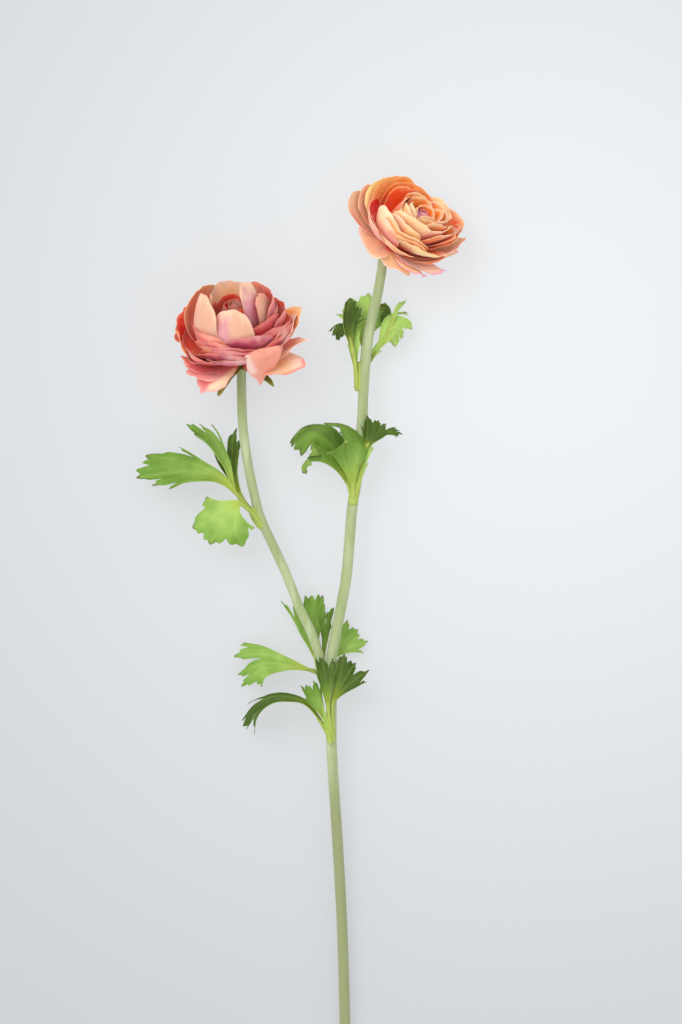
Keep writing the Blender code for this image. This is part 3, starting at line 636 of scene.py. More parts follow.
# %% The leaflet's outline
LEAFLET_GRID = (22, 64)  # rows from the stalk to the rim, and rays across
BLADE_THICK, RIB_THICK = 0.36, 0.12  # a blade thins to half towards its rim, and a rib fades out
STALK_OVERLAP, STALK_RADII = 2.5, (1.25, 0.85, 0.35)
RIBS = 4  # the tips stand near turns of 0, a half and a whole
TOOTH, SECOND_TOOTH = 0.18, 0.06


def ribs_of(turn, leaf):
    """The turn, uneven by a rule of the leaflet's own, so that its teeth are not all of one width."""
    return turn + 0.09 * np.sin(math.pi * turn + leaf.spine[-1][0]) * np.cos(math.pi / 2 * turn)


def blade_reach(turn, leaf, random):
    """How far the edge is from the end of the stalk, as a share of the leaflet's length."""
    envelope = leaf.side + (1 - leaf.side) * np.cos(np.pi / 2 * turn) ** 0.9
    own = ribs_of(turn, leaf)
    tip = np.abs(np.cos(np.pi * RIBS / 2 * own))
    small = np.abs(np.cos(np.pi * RIBS * 1.5 * own + random.uniform(-0.5, 0.5)))
    uneven = 0.06 * np.sin(5.1 * turn + random.uniform(0, math.tau)) - 0.03
    depth = TOOTH * (1 + 0.5 * np.sin(3.3 * turn + random.uniform(0, math.tau)))
    return envelope * (1 + uneven - depth * (1 - tip) ** 0.9 - SECOND_TOOTH * (1 - small) ** 0.8)


def flat_leaflet(leaf, rows, columns, random):
    """The leaflet laid out flat: sideways and forward places, and its rows and rays from 0 and -1 to 1."""
    path = smooth_path(leaf.spine, 12)
    lengths = arc_lengths(path)
    pole = leaf.stalk * lengths[-1]
    t, turn = lattice(rows, columns)
    angle = turn * math.radians(leaf.spread) * (0.4 + 0.6 * t)
    reach = (lengths[-1] - pole) * blade_reach(turn, leaf, random)
    sideways = turn * (1 - t) + reach * np.sin(angle) * t
    forward = pole + reach * np.cos(angle) * t
    return path, lengths, sideways, forward, t, turn


# %% Bending, pleating and curling the leaflet
def bent_leaflet(leaf, rows, columns, random):
    path, lengths, sideways, forward, t, turn = flat_leaflet(leaf, rows, columns, random)
    rib = np.abs(np.cos(np.pi * RIBS / 2 * ribs_of(turn, leaf))) ** 3  # 1 along a rib, 0 half way to the next
    centre = along(path, lengths, np.maximum(forward, 0))
    tangent = unit(along(path, lengths, np.maximum(forward, 0) + 0.5) - centre)
    beside = unit(np.cross(tangent, unit(leaf.face)))
    up = np.cross(beside, tangent)
    bow = sideways / leaf.cup
    flat, rise = leaf.cup * np.sin(bow), leaf.cup * (1 - np.cos(bow))
    fold = math.radians(leaf.fold)
    across = flat * math.cos(fold) - np.sign(sideways) * rise * math.sin(fold)
    lift = np.abs(flat) * math.sin(fold) + rise * math.cos(fold) + leaf.wave * np.sin(0.7 * sideways) * t**2
    lift = lift - 0.28 * rib * t * (1 - 0.5 * t)
    lift = lift - 1.5 * np.clip((t - 0.75) / 0.25, 0, 1) ** 2 * rib * random.uniform(0.0, 1.6)
    grid = centre + beside * across[..., None] + up * lift[..., None]
    grid = grid + up * ((0.65 * ripples(grid, 11.0, random) + 0.2 * ripples(grid, 4.0, random)) * t)[..., None]
    return grid, t, rib


def leaflet_patches(leaf, random):
    grid, t, rib = bent_leaflet(leaf, *LEAFLET_GRID, random)
    random.uniform()  # a draw with no use of its own, kept so that the later leaflets keep their shapes
    thickness = BLADE_THICK * (1 - 0.5 * t**3) + RIB_THICK * rib * (1 - t)
    blade = thin_sheet(grid, thickness, {"along": t, "rib": rib, "tone": leaf.tone})
    path = smooth_path(leaf.spine, 12)
    lengths = arc_lengths(path)
    stops = np.linspace(0, leaf.stalk * lengths[-1] + STALK_OVERLAP, 12)
    radii = np.interp(stops, (0, stops[-2], stops[-1]), STALK_RADII)
    fields = {"along": -1 + stops / stops[-1], "rib": 1.0, "tone": leaf.tone}
    return [blade, round_tube(along(path, lengths, stops), radii, 10, fields)]


def sheath_patch(group):
    path = smooth_path(group.sheath, 8)
    radii = np.interp(np.linspace(0, 1, len(path)), (0, 0.08, 0.5, 0.92, 1), (0.55, 0.86, 1.0, 0.9, 0.6))
    fields = {"along": -1.0, "rib": 1.0, "tone": 0.7}
    return round_tube(path, radii * group.sheath_radius, 18, fields)


# %% The leaf's finish
def leaf_finish():
    """Stamped green cloth: yellow-green at the base and ribs, darker between them, bruised at the tooth tips."""
    material, tree, shader, place = new_finish("leaf_cloth")
    t, rib = carried(tree, "along"), carried(tree, "rib")
    cloud = speckled(place, 90.0, 2.0)
    shade = t * -0.28 + (cloud * 0.55 - 0.28 + carried(tree, "tone"))
    vein = ramped(rib, 0.9, 1.0) * (t * -0.2 + 0.26)
    tip = ramped(cloud * 0.1 + t, 1.0, 1.07) * ramped(rib, 0.5, 0.95)
    layers = (
        (ramped(shade, -0.1, 0.35), 1.0, dye(102, 138, 46)),
        (ramped(shade, 0.25, 0.8), 1.0, dye(158, 188, 96)),
        (1 - ramped(t, -0.3, 0.56), 0.8, dye(168, 172, 44)),  # base
        (vein, 1.0, dye(186, 204, 104)),
        (carried(tree, "front"), 0.45, dye(142, 162, 84)),  # underside
        (tip, 1.0, dye(84, 66, 62)),
    )
    veins = bumped(speckled(place, 520.0), 0.00025, 0.5)
    painted(shader, dye(64, 86, 18), layers, Roughness=0.62, Specular_IOR_Level=0.3, Subsurface_Weight=0.18,
            Subsurface_Scale=0.0012, Subsurface_Radius=(0.5, 1.0, 0.2),
            Normal=bumped(speckled(place, 3200.0), 0.00008, 0.5, Normal=veins))
    return material


LEAF_CLOTH = leaf_finish()

# %% Make the leaf groups
LEAF_SEED = 40
for number, group in enumerate(LEAF_GROUPS):
    random = np.random.RandomState(LEAF_SEED + number)
    patches = [sheath_patch(group)]
    for leaf in group.leaves:
        patches += leaflet_patches(leaf, random)
    piece = make_piece(group.name + "_cloth", patches, LEAF_CLOTH)
    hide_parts(group.name)
    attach(piece, "root")

# %% [markdown]
# ## Petals
#
# A silk petal is cut from white cloth, dip-dyed from its root, brushed with a second colour while it is wet and
# pressed hot into a cup, which leaves it a little crumpled with its rim curled out. Rings of three to five such
# petals, each ring wider and lower than the last, make the ball of a ranunculus, and the loose outer ones hang.
#
# Here each petal is one row in a table: where it stands round the flower, the curve of its middle line, and how
# wide and how cupped it is. The rings are filled by rule, with every petal a little different and none where
# the flower has opened, and the single petals are placed one by one. The fine grid then gets what a press gives
# it: creases, a frilled edge and a curl.

# %% Petal tables
# A bloom's rings hang lower by its tilt on its low side, and its heart stands aside in mm. An open side is
# two azimuths and a reach: ring petals between them that reach less far, apart from the heart's, are left
# out. Azimuths are in degrees, 0 at the front, which looks up from the table, and positive to the right.
# Swell sets the second and third controls of a ring petal's profile. A profile is four controls, outwards and
# upwards in mm, of the petal's middle line. Cup is its radius across, and where it is negative the petal
# bends outwards. Rounding draws the rim's corners back, and point draws its middle out.
Bloom = namedtuple("Bloom", "name base axis tilt low_side heart_aside open_sides swell rings between singles seed")
Ring = namedtuple("Ring", "count turn reach height half_width cup rounding ruffle")
Petal = namedtuple("Petal", "azimuth profile half_width cup rounding ruffle point phase")
ROSE = Bloom(
    name="rose",
    base=(-44.6, 187.1, 21.49),
    axis=(-0.104, 0.857, 0.5),
    tilt=0.8,
    low_side=-35,
    heart_aside=0,
    open_sides=((-150, -60, 25.3), (-48, 32, 22)),
    swell=(0.62, 0.20, 1.06),
    rings=(
        Ring(3, 20, 2, 31.5, 4.5, 4.5, 0.30, 0.2),
        Ring(3, 65, 5, 31.5, 7, 6.5, 0.25, 0.3),
        Ring(4, 12, 9.5, 32, 9.5, 11, 0.20, 0.4),
        Ring(5, 24, 21.5, 25.5, 16, 20, 0.05, 0.5),
        Ring(5, -14, 25, 21.2, 17.5, 23, 0.06, 0.6),
        Ring(5, 18, 27, 16.2, 18.5, 26, 0.06, 0.7),
    ),
    between=(
        Ring(5, 52, 20.5, 26.5, 13, 18, 0.08, 0.6),
        Ring(5, 10, 23.4, 24.4, 14.5, 22, 0.07, 0.6),
        Ring(5, 40, 23.8, 22.8, 15, 23, 0.07, 0.7),
        Ring(5, -8, 25.6, 19.4, 15.5, 25, 0.07, 0.7),
        Ring(5, 58, 26.4, 17.8, 15.5, 25, 0.07, 0.7),
        Ring(5, 0, 27.2, 14.2, 16, 27, 0.08, 0.7),
    ),
    singles=(
        Petal(-4, ((4, 4), (24, 2), (29, 24), (14, 34.4)), 11.4, 18, 0.14, 0.4, 0, 0.5),
        Petal(-64, ((4, 4), (22, 3), (27, 27), (13.5, 39.5)), 16, 16, 0.12, 0.3, 0, 1),
        Petal(-84, ((4, 4), (14, 6), (15, 28), (9.5, 37)), 8, 11, 0.12, 0.3, 0, 0.6),
        Petal(60, ((4, 4), (17, 10), (15.5, 32), (7, 43.5)), 7.5, 11, 0.20, 0.4, 0, 2),
        Petal(76, ((4, 4), (19, 6), (21, 27), (13, 35.5)), 8.5, 14, 0.14, 0.4, 0, 0.2),
        Petal(98, ((4, 4), (20, 3), (23, 23), (19.5, 33)), 14, 18, 0.12, 0.6, 0, 0.2),
        Petal(134, ((4, 4), (20, 3), (23, 22), (20.5, 33)), 13, 20, 0.12, 0.6, 0, 1.9),
        Petal(176, ((4, 4), (19, 3), (20, 22), (16.5, 35)), 14, 17, 0.12, 0.6, 0, 2.7),
        Petal(-122, ((4, 4), (22, 4), (29, 26), (17, 36.8)), 15, 19, 0.10, 0.6, 0, 1.3),
        Petal(-112, ((3.5, 2), (18, 2), (28, 12), (26.5, 26)), 12, 22, 0.12, 0.6, 0, 1),
        Petal(-82, ((3.5, 1.5), (19, 1), (29, 10), (28.5, 22)), 13, 26, 0.12, 0.7, 0, 0.3),
        Petal(-44, ((3, 1), (12, 3), (21, 3), (28.5, -4)), 9.5, -40, 0.20, 1.2, 0.06, 0.4),
        Petal(-72, ((3, 1.2), (13, 0), (23, 3), (28.5, 8.5)), 11, 60, 0.30, 0.9, 0.10, 1.7),
        Petal(-58, ((3, 1), (13, 0), (22, 1), (30, 3.5)), 11, 50, 0.28, 1, 0.04, 0.8),
        Petal(26, ((3, 0.8), (27, 18), (39.5, 28), (23, -1)), 9.5, -60, 0.20, 0.7, 0.12, 2.6),
        Petal(56, ((3, 1.2), (13, 0), (24, 1), (35, 2.5)), 13, 60, 0.30, 1.3, 0.12, 0.9),
        Petal(75, ((3, 1.4), (14, 0), (23, 4), (33, 10)), 12, 50, 0.30, 1.2, 0.12, 3.1),
        Petal(103, ((3.5, 2), (16, 0), (26, 8), (33, 19)), 15, 30, 0.18, 0.8, 0.06, 2),
        Petal(87, ((3.5, 2), (15, 0), (25, 8), (29.5, 19)), 14, 28, 0.16, 0.8, 0.05, 1.4),
        Petal(-145, ((3, 1.2), (14, -2), (23, 1), (25, 9)), 15, 40, 0.25, 0.6, 0, 1.2),
        Petal(150, ((3, 1.2), (14, -2), (23, 1), (25, 9)), 15, 40, 0.25, 0.6, 0, 0.3),
    ),
    seed=11,
)
PEACH = Bloom(
    name="peach",
    base=(30.6, 244.2, 18.29),
    axis=(0.526, 0.666, 0.53),
    tilt=7,
    low_side=-50,
    heart_aside=4,
    open_sides=((-212, -10, 26),),
    swell=(0.40, 0.25, 0.90),
    rings=(
        Ring(3, 10, 2, 25.5, 4.5, 4.5, 0.30, 0.2),
        Ring(3, 50, 5, 27.5, 7.5, 7, 0.25, 0.4),
        Ring(4, 40, 8.5, 28, 9, 10, 0.20, 0.5),
        Ring(5, -50, 15, 27.5, 13, 16, 0.10, 0.5),
        Ring(5, 12, 20.5, 23, 14.5, 20, 0.10, 0.7),
        Ring(5, -20, 25, 18, 15.5, 24, 0.12, 0.8),
    ),
    between=(
        Ring(4, 60, 11.5, 27.8, 9.5, 12, 0.14, 0.6),
        Ring(5, 5, 17.6, 25.5, 11, 18, 0.12, 0.7),
        Ring(5, 30, 22.6, 21, 12.5, 22, 0.14, 0.8),
    ),
    singles=(
        Petal(-58, ((3, 1.5), (10, 3), (20, 5), (21.5, 13.5)), 17, 22, 0.04, 0.3, 0, 0.9),
        Petal(-6, ((3, 1.5), (9, 3), (18, 6), (21.5, 12)), 16, 22, 0.04, 0.3, 0, 2),
        Petal(-72, ((3, 3), (10, 4), (14.8, 14), (11, 23)), 11, 12.5, 0.12, 0.3, 0, 0.4),
        Petal(-28, ((3, 3), (14, 1), (20, 12), (16, 20.5)), 12.5, 16, 0.10, 0.3, 0, 1.4),
        Petal(-95, ((3, 4), (10, 5), (14, 19), (10.5, 26.5)), 9, 10, 0.12, 0.3, 0, 2.2),
        Petal(-150, ((3.5, 2), (15, 2), (21, 14), (16.5, 26.5)), 14, 17, 0.10, 0.4, 0, 0.7),
        Petal(-90, ((3, 1.2), (15, -1), (25, 2), (30, 10)), 11, 30, 0.12, 0.3, 0, 0.8),
        Petal(-105, ((3, 1.2), (15, 0), (26, 5), (27, 15)), 10, 24, 0.25, 0.5, 0, 2.8),
        Petal(-130, ((3.5, 2), (17, 2), (24, 14), (20.5, 26.5)), 13, 20, 0.12, 0.6, 0, 1.2),
        Petal(-114, ((3.5, 2), (17, 1), (26, 11), (25.5, 20)), 8, 26, 0.30, 0.5, 0, 0.4),
        Petal(-36, ((3, 1), (10, 0), (15, -1), (19, -1)), 12, 40, 0.12, 0.5, 0, 1.9),
        Petal(30, ((3, 1), (9, 0), (14, -2), (19.5, -0.5)), 9.5, 60, 0.10, 0.6, 0, 0.2),
        Petal(60, ((3, 1), (12, 0), (19, 1), (25, 4)), 6, 40, 0.35, 0.8, 0.14, 2.4),
        Petal(76, ((3, 1), (13, 0), (23, 4), (30, 10)), 9, 40, 0.28, 0.8, 0, 1.1),
        Petal(88, ((3.5, 2), (16, 0), (26, 9), (26.5, 19)), 10, 24, 0.20, 0.8, 0.04, 3),
        Petal(109, ((3.5, 1.5), (14, 1), (25, 9), (28, 21)), 11, 26, 0.22, 0.7, 0.06, 2.2),
        Petal(160, ((3.5, 2), (16, 0), (26, 10), (26, 20)), 16, 26, 0.10, 0.6, 0, 0.6),
        Petal(-168, ((3.5, 2), (16, 0), (24, 12), (22.5, 23)), 16, 24, 0.08, 0.6, 0, 1.5),
        Petal(-138, ((3, 3), (13, 4), (18, 17), (13, 26.5)), 10, 13, 0.14, 0.7, 0, 1.1),
        Petal(-172, ((3, 3), (14, 4), (19, 17), (16, 25.5)), 10, 15, 0.12, 0.7, 0, 2.9),
    ),
    seed=23,
)

# %% The dyer's colours, and how each petal is dipped
DYES = {
    "oxblood": dye(165, 8, 8), "scarlet": dye(228, 26, 8), "flame": dye(244, 78, 22),
    "tangerine": dye(250, 138, 56), "apricot": dye(250, 174, 112), "peach": dye(250, 194, 152),
    "cream": dye(252, 213, 172), "butter": dye(253, 220, 146), "salmon": dye(242, 150, 128),
    "coral": dye(232, 100, 80), "rose": dye(228, 116, 116), "pink": dye(240, 160, 154),
    "blush": dye(246, 202, 188), "beige": dye(234, 184, 152), "tan": dye(228, 170, 118),
    "mauve": dye(186, 88, 112), "plum": dye(152, 50, 78), "crimson": dye(190, 54, 78),
    "sand": dye(216, 160, 134), "lilac": dye(222, 140, 196), "dusty": dye(206, 130, 116),
    "orchid": dye(204, 128, 142),
}
# A dip names the dye of the root, of the inner face, of the back, of the rim and of the brushed patch. The
# patch lies on one side: its lean is across the petal, its rise is towards the rim, and its size is how far in.
# Soak and stain are how far up the root's dye has run, on the inner face and on the back.
Dip = namedtuple("Dip", "root face back rim flush lean rise size soak stain")


def dyed(dyes, *numbers):
    """A dip from its five dyes, in one string, and its five numbers."""
    return Dip(*dyes.split(), *numbers)


RING_DIPS = {
    "rose": (
        dyed("plum dusty dusty dusty beige", 0.6, 0.6, -0.5, 0.5, 0.5),
        dyed("oxblood scarlet dusty dusty blush", -0.7, 0.5, -0.6, 0.9, 0.6),
        dyed("oxblood scarlet scarlet coral coral", 0.7, 0.4, -0.5, 1.1, 1),
        dyed("scarlet scarlet coral salmon salmon", 0.8, 0.3, -0.4, 1, 0.3),
        dyed("scarlet flame coral salmon apricot", -0.8, 0.2, -0.5, 1, 0.3),
        dyed("coral flame mauve salmon plum", 0.7, 0.2, -0.4, 0.9, 0.3),
    ),
    "peach": (
        dyed("flame tan peach pink lilac", 0.5, 0.9, -0.2, 0.5, 0.3),
        dyed("flame tangerine cream cream tan", 0.6, 0.4, -0.4, 0.9, 0.3),
        dyed("flame tangerine cream cream tan", -0.6, 0.5, -0.5, 0.7, 0.35),
        dyed("flame tangerine cream cream pink", 0.7, -0.4, 0.1, 0.8, 0.62),
        dyed("flame tangerine butter cream tangerine", -0.8, 0.3, -0.3, 0.8, 0.7),
        dyed("tangerine flame peach peach salmon", 0.7, -0.3, -0.1, 0.9, 0.5),
    ),
}
BETWEEN_DIPS = {
    "rose": (
        dyed("oxblood scarlet coral salmon rose", 0.8, 0.4, -0.4, 1, 0.4),
        dyed("scarlet flame mauve pink orchid", 0.8, 0.1, -0.4, 0.9, 0.4),
        dyed("scarlet scarlet crimson salmon salmon", -0.8, 0.1, -0.5, 0.9, 0.4),
        dyed("scarlet coral dusty salmon tangerine", -0.8, 0.3, -0.5, 0.9, 0.4),
        dyed("scarlet coral plum salmon dusty", 0.8, 0.3, -0.5, 0.9, 0.4),
        dyed("coral coral mauve pink rose", 0.7, -0.2, -0.3, 0.8, 0.4),
    ),
    "peach": (
        dyed("flame tangerine apricot cream coral", 0.7, 0.2, -0.4, 0.7, 0.3),
        dyed("scarlet flame pink cream butter", 0.7, 0.3, -0.1, 0.9, 0.6),
        dyed("flame flame salmon peach apricot", -0.7, 0.3, -0.2, 0.9, 0.66),
    ),
}
SINGLE_DIPS = {
    "rose": (
        dyed("tangerine scarlet sand beige orchid", -1.1, -0.5, 0.25, 0.8, 0.56),  # front shield
        dyed("salmon flame sand beige salmon", -0.9, -0.2, 0, 0.8, 0.5),  # left cup
        dyed("coral tangerine beige peach rose", 0.9, -0.4, -0.1, 0.7, 0.4),
        dyed("mauve scarlet orchid beige sand", 0.3, 1, -0.7, 0.8, 0.45),  # right folds
        dyed("salmon scarlet sand salmon salmon", -0.7, -0.5, -0.3, 0.8, 0.4),
        dyed("oxblood scarlet rose salmon mauve", -0.7, 0.3, 0, 1, 0.4),
        dyed("oxblood coral salmon salmon dusty", 0.7, 0.4, 0, 0.95, 0.4),
        dyed("scarlet peach salmon blush peach", 0.7, 0.6, -0.1, 0.66, 0.3),  # far side
        dyed("scarlet salmon salmon peach peach", 0.6, 0.5, -0.4, 0.5, 0.3),
        dyed("scarlet flame coral salmon coral", 0.8, 0.2, -0.4, 1.1, 0.4),  # left, opened out
        dyed("scarlet flame mauve tangerine tangerine", 0.7, 0.5, -0.4, 1, 0.5),
        dyed("coral rose rose pink cream", 1, 0.5, -0.7, 0.35, 0.3),  # hanging petals
        dyed("coral rose rose pink coral", -0.7, 0.3, 0, 0.4, 0.3),
        dyed("coral rose rose pink pink", 0.7, 0.3, 0, 0.5, 0.3),
        dyed("coral salmon rose pink blush", -0.9, 0, -0.5, 0.4, 0.3),
        dyed("coral peach rose rose blush", 0.8, 0.6, -0.3, 0.4, 0.3),
        dyed("coral pink salmon blush peach", -0.6, 0.5, -0.1, 0.4, 0.3),
        dyed("coral apricot apricot peach tangerine", 0.8, 0.2, -0.3, 0.66, 0.3),
        dyed("coral peach pink blush pink", -0.8, 0.2, -0.2, 0.6, 0.3),
        dyed("coral salmon rose pink coral", 0.7, 0.2, 0, 0.5, 0.3),
        dyed("coral salmon apricot peach apricot", 0.7, 0.2, 0, 0.5, 0.3),
    ),
    "peach": (
        dyed("scarlet scarlet salmon peach flame", -0.4, 0.8, -0.6, 1.2, 0.2),  # left, opened out
        dyed("scarlet flame peach peach tangerine", 0.8, 0.6, -0.6, 1, 0.2),
        dyed("scarlet tangerine butter cream pink", 0.9, -0.4, 0, 0.9, 0.5),  # cream cups
        dyed("scarlet tangerine cream cream pink", 0.5, -0.9, 0.4, 0.9, 0.5),
        dyed("flame tangerine tangerine apricot coral", 0.7, 0.2, -0.1, 0.9, 0.4),
        dyed("flame tangerine tangerine apricot tangerine", 0.5, 0.2, -0.3, 0.75, 0.3),
        dyed("coral beige beige beige dusty", 0.8, 0, -0.5, 0.3, 0.2),  # far left
        dyed("coral salmon salmon peach beige", 0.6, 0.3, -0.1, 0.5, 0.2),
        dyed("tangerine tangerine apricot apricot apricot", 0.8, 0.4, -0.1, 0.7, 0.3),  # top
        dyed("tangerine peach apricot butter butter", -0.3, 0.9, 0, 0.4, 0.3),
        dyed("coral beige beige blush blush", -0.8, -0.2, -0.2, 0.3, 0.2),  # hanging petals
        dyed("salmon cream salmon blush peach", 0.6, 0.4, -0.1, 0.3, 0.2),
        dyed("salmon peach apricot lilac cream", 0.7, 0.3, -0.2, 0.3, 0.2),
        dyed("salmon blush blush lilac pink", 0.8, 0.5, -0.6, 0.25, 0.2),
        dyed("flame apricot salmon rose tan", -0.8, 0.4, 0, 0.4, 0.2),
        dyed("coral salmon peach salmon beige", 0.6, 0.8, -0.1, 0.5, 0.2),
        dyed("flame salmon pink pink blush", -0.8, 0.2, 0, 0.4, 0.2),
        dyed("flame apricot apricot peach beige", -0.7, 0.7, -0.1, 0.5, 0.3),
        dyed("flame tangerine tangerine apricot flame", 0.6, 0.3, -0.2, 0.85, 0.4),  # round the heart
        dyed("scarlet flame apricot tangerine coral", -0.6, 0.3, -0.2, 0.9, 0.4),
    ),
}
# How the backs and rims of the rings change round the flower, in degrees from the far side by the left, the
# front and the right, and how far each is drawn to that colour from its dip's.
BACK_ROUND = {
    "rose": ((-180, "salmon"), (-100, "coral"), (-62, "crimson"), (-40, "coral"), (-18, "mauve"), (15, "plum"),
             (48, "crimson"), (80, "rose"), (130, "coral"), (180, "salmon")),
    "peach": ((-180, "tangerine"), (-100, "apricot"), (-50, "cream"), (0, "peach"), (50, "butter"),
              (90, "pink"), (125, "peach"), (155, "pink"), (180, "tangerine")),
}
SHARE_ROUND = {"rose": 0.85, "peach": 0.6}
RIM_SHARE = 0.55  # a rim follows the colours round the flower this much as far as its back


def colour_round(bloom, azimuth):
    """The colour of a bloom's backs on the side of this azimuth."""
    turn = (azimuth + 180) % 360 - 180
    stops = [stop for stop, _ in BACK_ROUND[bloom.name]]
    dyes = np.array([DYES[name] for _, name in BACK_ROUND[bloom.name]])
    return np.array([np.interp(turn, stops, dyes[:, k]) for k in range(4)])


# %% The rings, filled by rule
SINGLE_CURL = 0.6  # how far a single petal's rim curls out, in mm
HEART_REACH = 12  # rings and petals whose rims stand nearer to the axis than this belong to the heart


def ring_petal(bloom, ring, k, random):
    """One petal of a ring, a little different from its neighbours."""
    azimuth = ring.turn + 360 * k / ring.count + random.uniform(-5, 5)
    lift = -bloom.tilt * math.cos(math.radians(azimuth - bloom.low_side)) * (ring.reach / 25) ** 2
    reach = ring.reach * random.uniform(0.96, 1.04)
    height = (ring.height + lift) * random.uniform(0.98, 1.02)
    root = (1.5 + 0.08 * reach, max(1.2, 9.0 - 0.45 * reach))
    belly, lift_off, shoulder = bloom.swell
    profile = (root, (belly * reach + 2, root[1] + lift_off * reach), (shoulder * reach + 1, 0.6 * height + 2),
               (reach, height))
    width = ring.half_width * random.uniform(0.94, 1.06)
    return Petal(azimuth, profile, width, ring.cup, ring.rounding, ring.ruffle, 0.0, random.uniform(0, math.tau))


def left_out(bloom, petal):
    """Whether a ring's petal would fill a side where the flower has opened."""
    return any((petal.azimuth - first) % 360 < last - first and HEART_REACH < petal.profile[3][0] < reach
               for first, last, reach in bloom.open_sides)


def dipped_petals(bloom):
    """Every petal of a bloom with its dip, and how far its rim curls out in mm."""
    random = np.random.RandomState(bloom.seed)
    found = []
    for rings, dips in ((bloom.rings, RING_DIPS[bloom.name]), (bloom.between, BETWEEN_DIPS[bloom.name])):
        for ring, dip in zip(rings, dips):
            curl = np.interp(ring.reach, (4, HEART_REACH, 27), (-0.5, 0.2, 0.9))
            petals = [ring_petal(bloom, ring, k, random) for k in range(ring.count)]
            found += [(petal, dip, curl, ring.reach > HEART_REACH) for petal in petals if not left_out(bloom, petal)]
    singles = zip(bloom.singles, SINGLE_DIPS[bloom.name])
    return found + [(petal, dip, SINGLE_CURL, False) for petal, dip in singles]


# %% One petal's cloth
PETAL_GRID = (26, 22)  # rows from root to rim, and columns across
LEAN = 0.14  # each petal of a ring has one edge under its neighbour and one over
CLAW = 0.32  # the width at the root, as a share of the widest
HEM = 0.72  # where along the petal its frilled hem begins
PETAL_THICK, RIM_THINNER, SIDES_THINNER = 0.34, 0.16, 0.06


def wavy(across, random, waves):
    """A line of random waves, between about -1 and 1."""
    total = sum(np.sin(across * k * 1.7 + random.uniform(0, math.tau)) / k**0.6 for k in waves)
    return total / sum(1 / k**0.6 for k in waves)


def petal_cloth(petal, rows, columns, curl, random):
    """The petal's middle surface round an upright flower whose base is at the origin, and its u and v."""
    u, v = lattice(rows, columns)
    u = u**0.85  # rows stand closer together towards the rim
    crest = 1 - petal.rounding * np.abs(v) ** 2.3 + petal.point * np.exp(-((v / 0.22) ** 2))
    crest = (crest - 0.12 * np.abs(v) ** 9) * (1 + 0.014 * wavy(2.5 * v, random, (1, 2, 3)))
    width = petal.half_width * (CLAW + (1 - CLAW) * np.sin(np.pi / 2 * np.clip(u / 0.72, 0, 1)) ** 1.2)
    width = width * (1 + 0.012 * wavy(4 * u, random, (1, 2)))
    middle = bezier(petal.profile, np.linspace(0, 1, 41))
    lengths = arc_lengths(middle)
    travel = u * crest * lengths[-1]
    centre = along(middle, lengths, travel)
    tangent = (along(middle, lengths, travel + 0.2) - centre) / 0.2
    turn = v * width / petal.cup
    sideways, rise = petal.cup * np.sin(turn), petal.cup * (1 - np.cos(turn))
    rise = rise + petal.ruffle * u**2 * np.sin(2.6 * v * np.pi / 2 + petal.phase)
    hem = np.clip((u - HEM) / (1 - HEM), 0, 1) ** 2
    frill = wavy(3.5 * v, random, (1, 2, 3)) * 0.75 * min(1.0, petal.ruffle + 0.2)
    rise = rise + hem * frill - curl * hem * (1 + 0.4 * wavy(2 * v, random, (1, 2)))
    rise = rise - 0.55 * curl * np.clip((np.abs(v) - 0.7) / 0.3, 0, 1) ** 2 * u
    rise = rise + 0.16 * wavy(11 * v + 2 * u, random, (1, 2, 3)) * np.sin(np.pi * np.clip(u, 0, 1) ** 0.7)
    radius = centre[..., 0] - tangent[..., 1] * rise + LEAN * sideways * np.clip(u * 2, 0, 1)
    height = centre[..., 1] + tangent[..., 0] * rise
    azimuth = math.radians(petal.azimuth)
    out = np.array([math.sin(azimuth), math.cos(azimuth), 0.0])
    beside = np.array([math.cos(azimuth), -math.sin(azimuth), 0.0])
    return radius[..., None] * out + sideways[..., None] * beside + height[..., None] * np.array([0, 0, 1.0]), u, v


def flower_axes(bloom):
    """Right, front and axis of a flower, as the rows of a matrix. Front faces away from the table."""
    axis = unit(bloom.axis)
    front = unit(np.array([0, 0, 1.0]) - axis * axis[2])
    return np.array([np.cross(axis, front), front, axis])


def petal_patch(bloom, petal, dip, curl, in_ring, random):
    grid, u, v = petal_cloth(petal, *PETAL_GRID, curl, random)
    if petal.profile[3][0] < HEART_REACH:
        grid[..., 0] += bloom.heart_aside * u
    grid = grid @ flower_axes(bloom) + bloom.base
    grid = grid + grid_normals(grid) * (0.14 * ripples(grid, 7.0, random) * u)[..., None]
    back, rim = np.array(DYES[dip.back]), np.array(DYES[dip.rim])
    if in_ring:
        share, near = SHARE_ROUND[bloom.name], colour_round(bloom, petal.azimuth)
        back, rim = back + share * (near - back), rim + RIM_SHARE * share * (near - rim)
    edge = np.maximum((u - 0.9) / 0.1, (np.abs(v) - 0.93) / 0.07 * np.clip(2 * u - 0.4, 0, 1))
    fields = {
        "root": DYES[dip.root], "face": DYES[dip.face], "back": back, "rim": rim,
        "flush": DYES[dip.flush], "along": u, "across": v * petal.half_width / 10, "whim": random.uniform(0, 1),
        "hem": np.clip(edge, -1, 1), "patch": dip.lean * v + dip.rise * (2 * u - 1) + dip.size,
        "soak": dip.soak, "stain": dip.stain,
    }
    return thin_sheet(grid, PETAL_THICK - RIM_THINNER * u**3 - SIDES_THINNER * np.abs(v) ** 3, fields)
